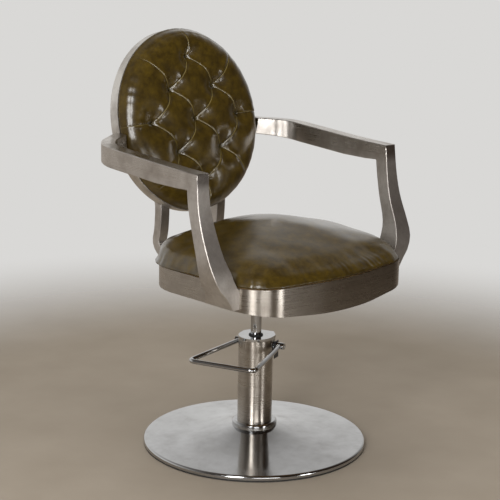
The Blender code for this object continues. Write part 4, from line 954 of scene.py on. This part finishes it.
# %% Tufted back
RING_FRONT = -STRIP_WIDTH
FACE_START, FACE_FADE, RIM_FADE = 0.004, 0.006, 0.15
BOWL_DEPTH, BOWL_SPREAD, TROUGH_DEPTH, TROUGH_SPREAD = 0.038, 0.026, 0.010, 0.013
CONE_DEPTH, CONE_SPREAD, CONE_POWER = 0.037, 0.024, 1.3
FOLD_DEPTH, FOLD_SPREAD = 0.006, 0.009
HELD_EDGE, HELD_ROUND_TUFT, HELD_BESIDE_FOLD, FOLD_HOLD = 0.006, 0.022, 0.004, 0.45
back = skin_of("back_cushion", BACK_VOXEL, BACK_PLACE)
spots = points_of(back.data)
flat = spots[:, [0, 2]]
fade = ramp(1 - oval_share(flat[:, 0], flat[:, 1]), RIM_FADE)
far = nearest_tuft(flat)
trough = TROUGH_DEPTH * fade * hump(nearest_fold(flat, 0.0), TROUGH_SPREAD)
bowl = np.maximum(BOWL_DEPTH * hump(far, BOWL_SPREAD), trough)
fold_gap = nearest_fold(flat, FOLD_BOW)
cone = np.maximum(CONE_DEPTH * hump(far, CONE_SPREAD, CONE_POWER),
                  FOLD_DEPTH * fade * hump(fold_gap, FOLD_SPREAD))
spots[:, 1] -= (bowl - cone) * ramp(RING_FRONT - FACE_START - spots[:, 1], FACE_FADE)
move_points(back.data, spots)
held = ramp(spots[:, 1] - RING_FRONT + HELD_EDGE, HELD_EDGE)
held = np.maximum(held, hump(far, HELD_ROUND_TUFT, 4))
held = np.maximum(held, FOLD_HOLD * fade * hump(fold_gap, HELD_BESIDE_FOLD))
blow_up(back, held, pressure=4.0, cap=0.0035, draw_in=0.002, evening=8)
print("deepest point of the hollows", round(CONE_DEPTH * 1000), "mm")

# %% Finer mesh beside the pleats
PLEAT_REACH = 0.010
mesh = subdivided(back)
spots = points_of(mesh)
near = nearest_fold(spots[:, [0, 2]], FOLD_BOW) < PLEAT_REACH
near &= spots[:, 1] < RING_FRONT - FACE_START
bm = bmesh.new()
bm.from_mesh(mesh)
close = [e for e in bm.edges if near[e.verts[0].index] and near[e.verts[1].index]]
bmesh.ops.subdivide_edges(bm, edges=close, cuts=1, use_grid_fill=True, smooth=0.0)
bm.to_mesh(mesh)
bm.free()
print(len(close), "edges split beside the pleats")

# %% Pleats
LIP, LIP_PLACE, LIP_SPREAD = 0.0006, 0.0050, 0.0040
CREASE, CREASE_SPREAD = 0.0018, 0.0016
WEAR_HIGHLIGHT_PLACE, WEAR_HIGHLIGHT_SPREAD, WEAR_HIGHLIGHT_AT_ENDS, WEAR_HIGHLIGHT_MIDWAY = 0.0014, 0.0006, 0.20, 0.35
FOLD_END, RIM_FOLD_END, CREASE_SHADE = 0.004, 0.3, 0.50
FRONT_START, FRONT_FADE = 0.002, 0.010
spots = points_of(mesh)
flat = spots[:, [0, 2]]
front = ramp(RING_FRONT - FRONT_START - spots[:, 1], FRONT_FADE)
lift = np.zeros(len(spots))
pale = np.zeros(len(spots))
dark = np.zeros(len(spots))
for number, ends in enumerate(folds):
    share, side, beyond = beside_fold(flat, *ends, FOLD_BOW)
    strength = hump(beyond, FOLD_END) * front
    if number >= len(inner_folds):
        strength = strength * ramp(1 - share, RIM_FOLD_END)
    crease = hump(side, CREASE_SPREAD)
    lift += strength * (LIP * hump(side - LIP_PLACE, LIP_SPREAD) - CREASE * crease)
    # The pale line beside each crease is partly rub wear along the pleat lip and partly a painted
    # highlight.
    worn_and_highlighted = strength * (WEAR_HIGHLIGHT_AT_ENDS + WEAR_HIGHLIGHT_MIDWAY * np.sin(math.pi * share))
    pale = np.maximum(pale, worn_and_highlighted * hump(side - WEAR_HIGHLIGHT_PLACE, WEAR_HIGHLIGHT_SPREAD))
    # Painted shade: the crease is darkened.
    dark = np.maximum(dark, strength * CREASE_SHADE * crease)
print("rubbed edge up to", round(float(pale.max()), 2))

# %% Gathers round the tufts and the rim
PUCKER, PUCKER_PLACE, PUCKER_SPREAD = 0.0002, 0.018, 0.010
RIM_GATHER, RIM_PLACE, RIM_SPREAD = 0.0004, 0.93, 0.05
TUFT_SHADE, TUFT_SHADE_SPREAD = 0.9, 0.006
OVERHANG, TOP_OVERHANG, TOP_SPAN, OVAL_SIZE = 0.0042, 0.0016, 0.10, 0.23
LAP_START, LAP_FADE = 0.0006, 0.002
for tuft in tufts:
    away = flat - np.array(tuft)
    far = np.linalg.norm(away, axis=1)
    around = np.arctan2(away[:, 1], away[:, 0])
    puckers = np.sin(around * 7 + 9 * tuft.x * 40) * hump(far - PUCKER_PLACE, PUCKER_SPREAD)
    lift += PUCKER * puckers * front
    # Painted shade: each tuft point is darkened.
    dark = np.maximum(dark, TUFT_SHADE * hump(far, TUFT_SHADE_SPREAD) * front)
rim_share = oval_share(flat[:, 0], flat[:, 1])
bearing = np.arctan2(flat[:, 1], flat[:, 0])
gathers = np.sin(bearing * 41 + 2 * np.sin(bearing * 9)) * hump(rim_share - RIM_PLACE, RIM_SPREAD)
lift += RIM_GATHER * gathers * front
spots[:, 1] -= lift
over_ring = ramp(RING_FRONT - LAP_START - spots[:, 1], LAP_FADE)
over_ring *= ramp(rim_share - RIM_PLACE, RIM_SPREAD)
overhang = OVERHANG + TOP_OVERHANG * ramp(flat[:, 1], TOP_SPAN)
spots[:, [0, 2]] *= (1 + overhang / OVAL_SIZE * over_ring)[:, None]
move_points(mesh, spots)
give_attribute(mesh, "wear_and_highlight", pale)
give_attribute(mesh, "painted_shade", dark)
mesh.transform(BACK_PLACE)
finish_cushion(back, "back_cushion")

# %% [markdown]
# ## The rear panel
# Behind, the back is closed by a thin upholstered panel that sits flush inside the ring. It hardly
# swells, because the posts lie across it, so it only gets a soft face and a sewn line near its edge.

# %% Rear panel
SEAM_DEPTH, SEAM_PLACE, SEAM_SPREAD, SEAM_SHADE = 0.0010, 0.93, 0.006, 0.6
SEAM_RUB, SEAM_RUB_PLACE, SEAM_RUB_SPREAD = 0.25, 0.915, 0.005
HELD_RIM, HELD_RIM_SPAN = 0.90, 0.05
POSTS_TOP, POSTS_FADE = -0.09, 0.03
REAR_FACE, REAR_FADE = -0.004, 0.002
panel = skin_of("back_rear_pad", PANEL_VOXEL, BACK_PLACE)
spots = points_of(panel.data)
rim_share = oval_share(spots[:, 0], spots[:, 2])
held = np.maximum(ramp(rim_share - HELD_RIM, HELD_RIM_SPAN), ramp(POSTS_TOP - spots[:, 2], POSTS_FADE))
blow_up(panel, held, pressure=1.0, cap=0.0006, draw_in=0.0004, evening=2)
mesh = subdivided(panel)
spots = points_of(mesh)
rim_share = oval_share(spots[:, 0], spots[:, 2])
behind = ramp(spots[:, 1] - REAR_FACE, REAR_FADE)
sewn = hump(rim_share - SEAM_PLACE, SEAM_SPREAD) * behind
spots[:, 1] -= SEAM_DEPTH * sewn
move_points(mesh, spots)
give_attribute(mesh, "wear_and_highlight", SEAM_RUB * hump(rim_share - SEAM_RUB_PLACE, SEAM_RUB_SPREAD) * behind)
# Painted shade: the sewn line is darkened.
give_attribute(mesh, "painted_shade", SEAM_SHADE * sewn)
mesh.transform(BACK_PLACE)
finish_cushion(panel, "back_rear_pad")
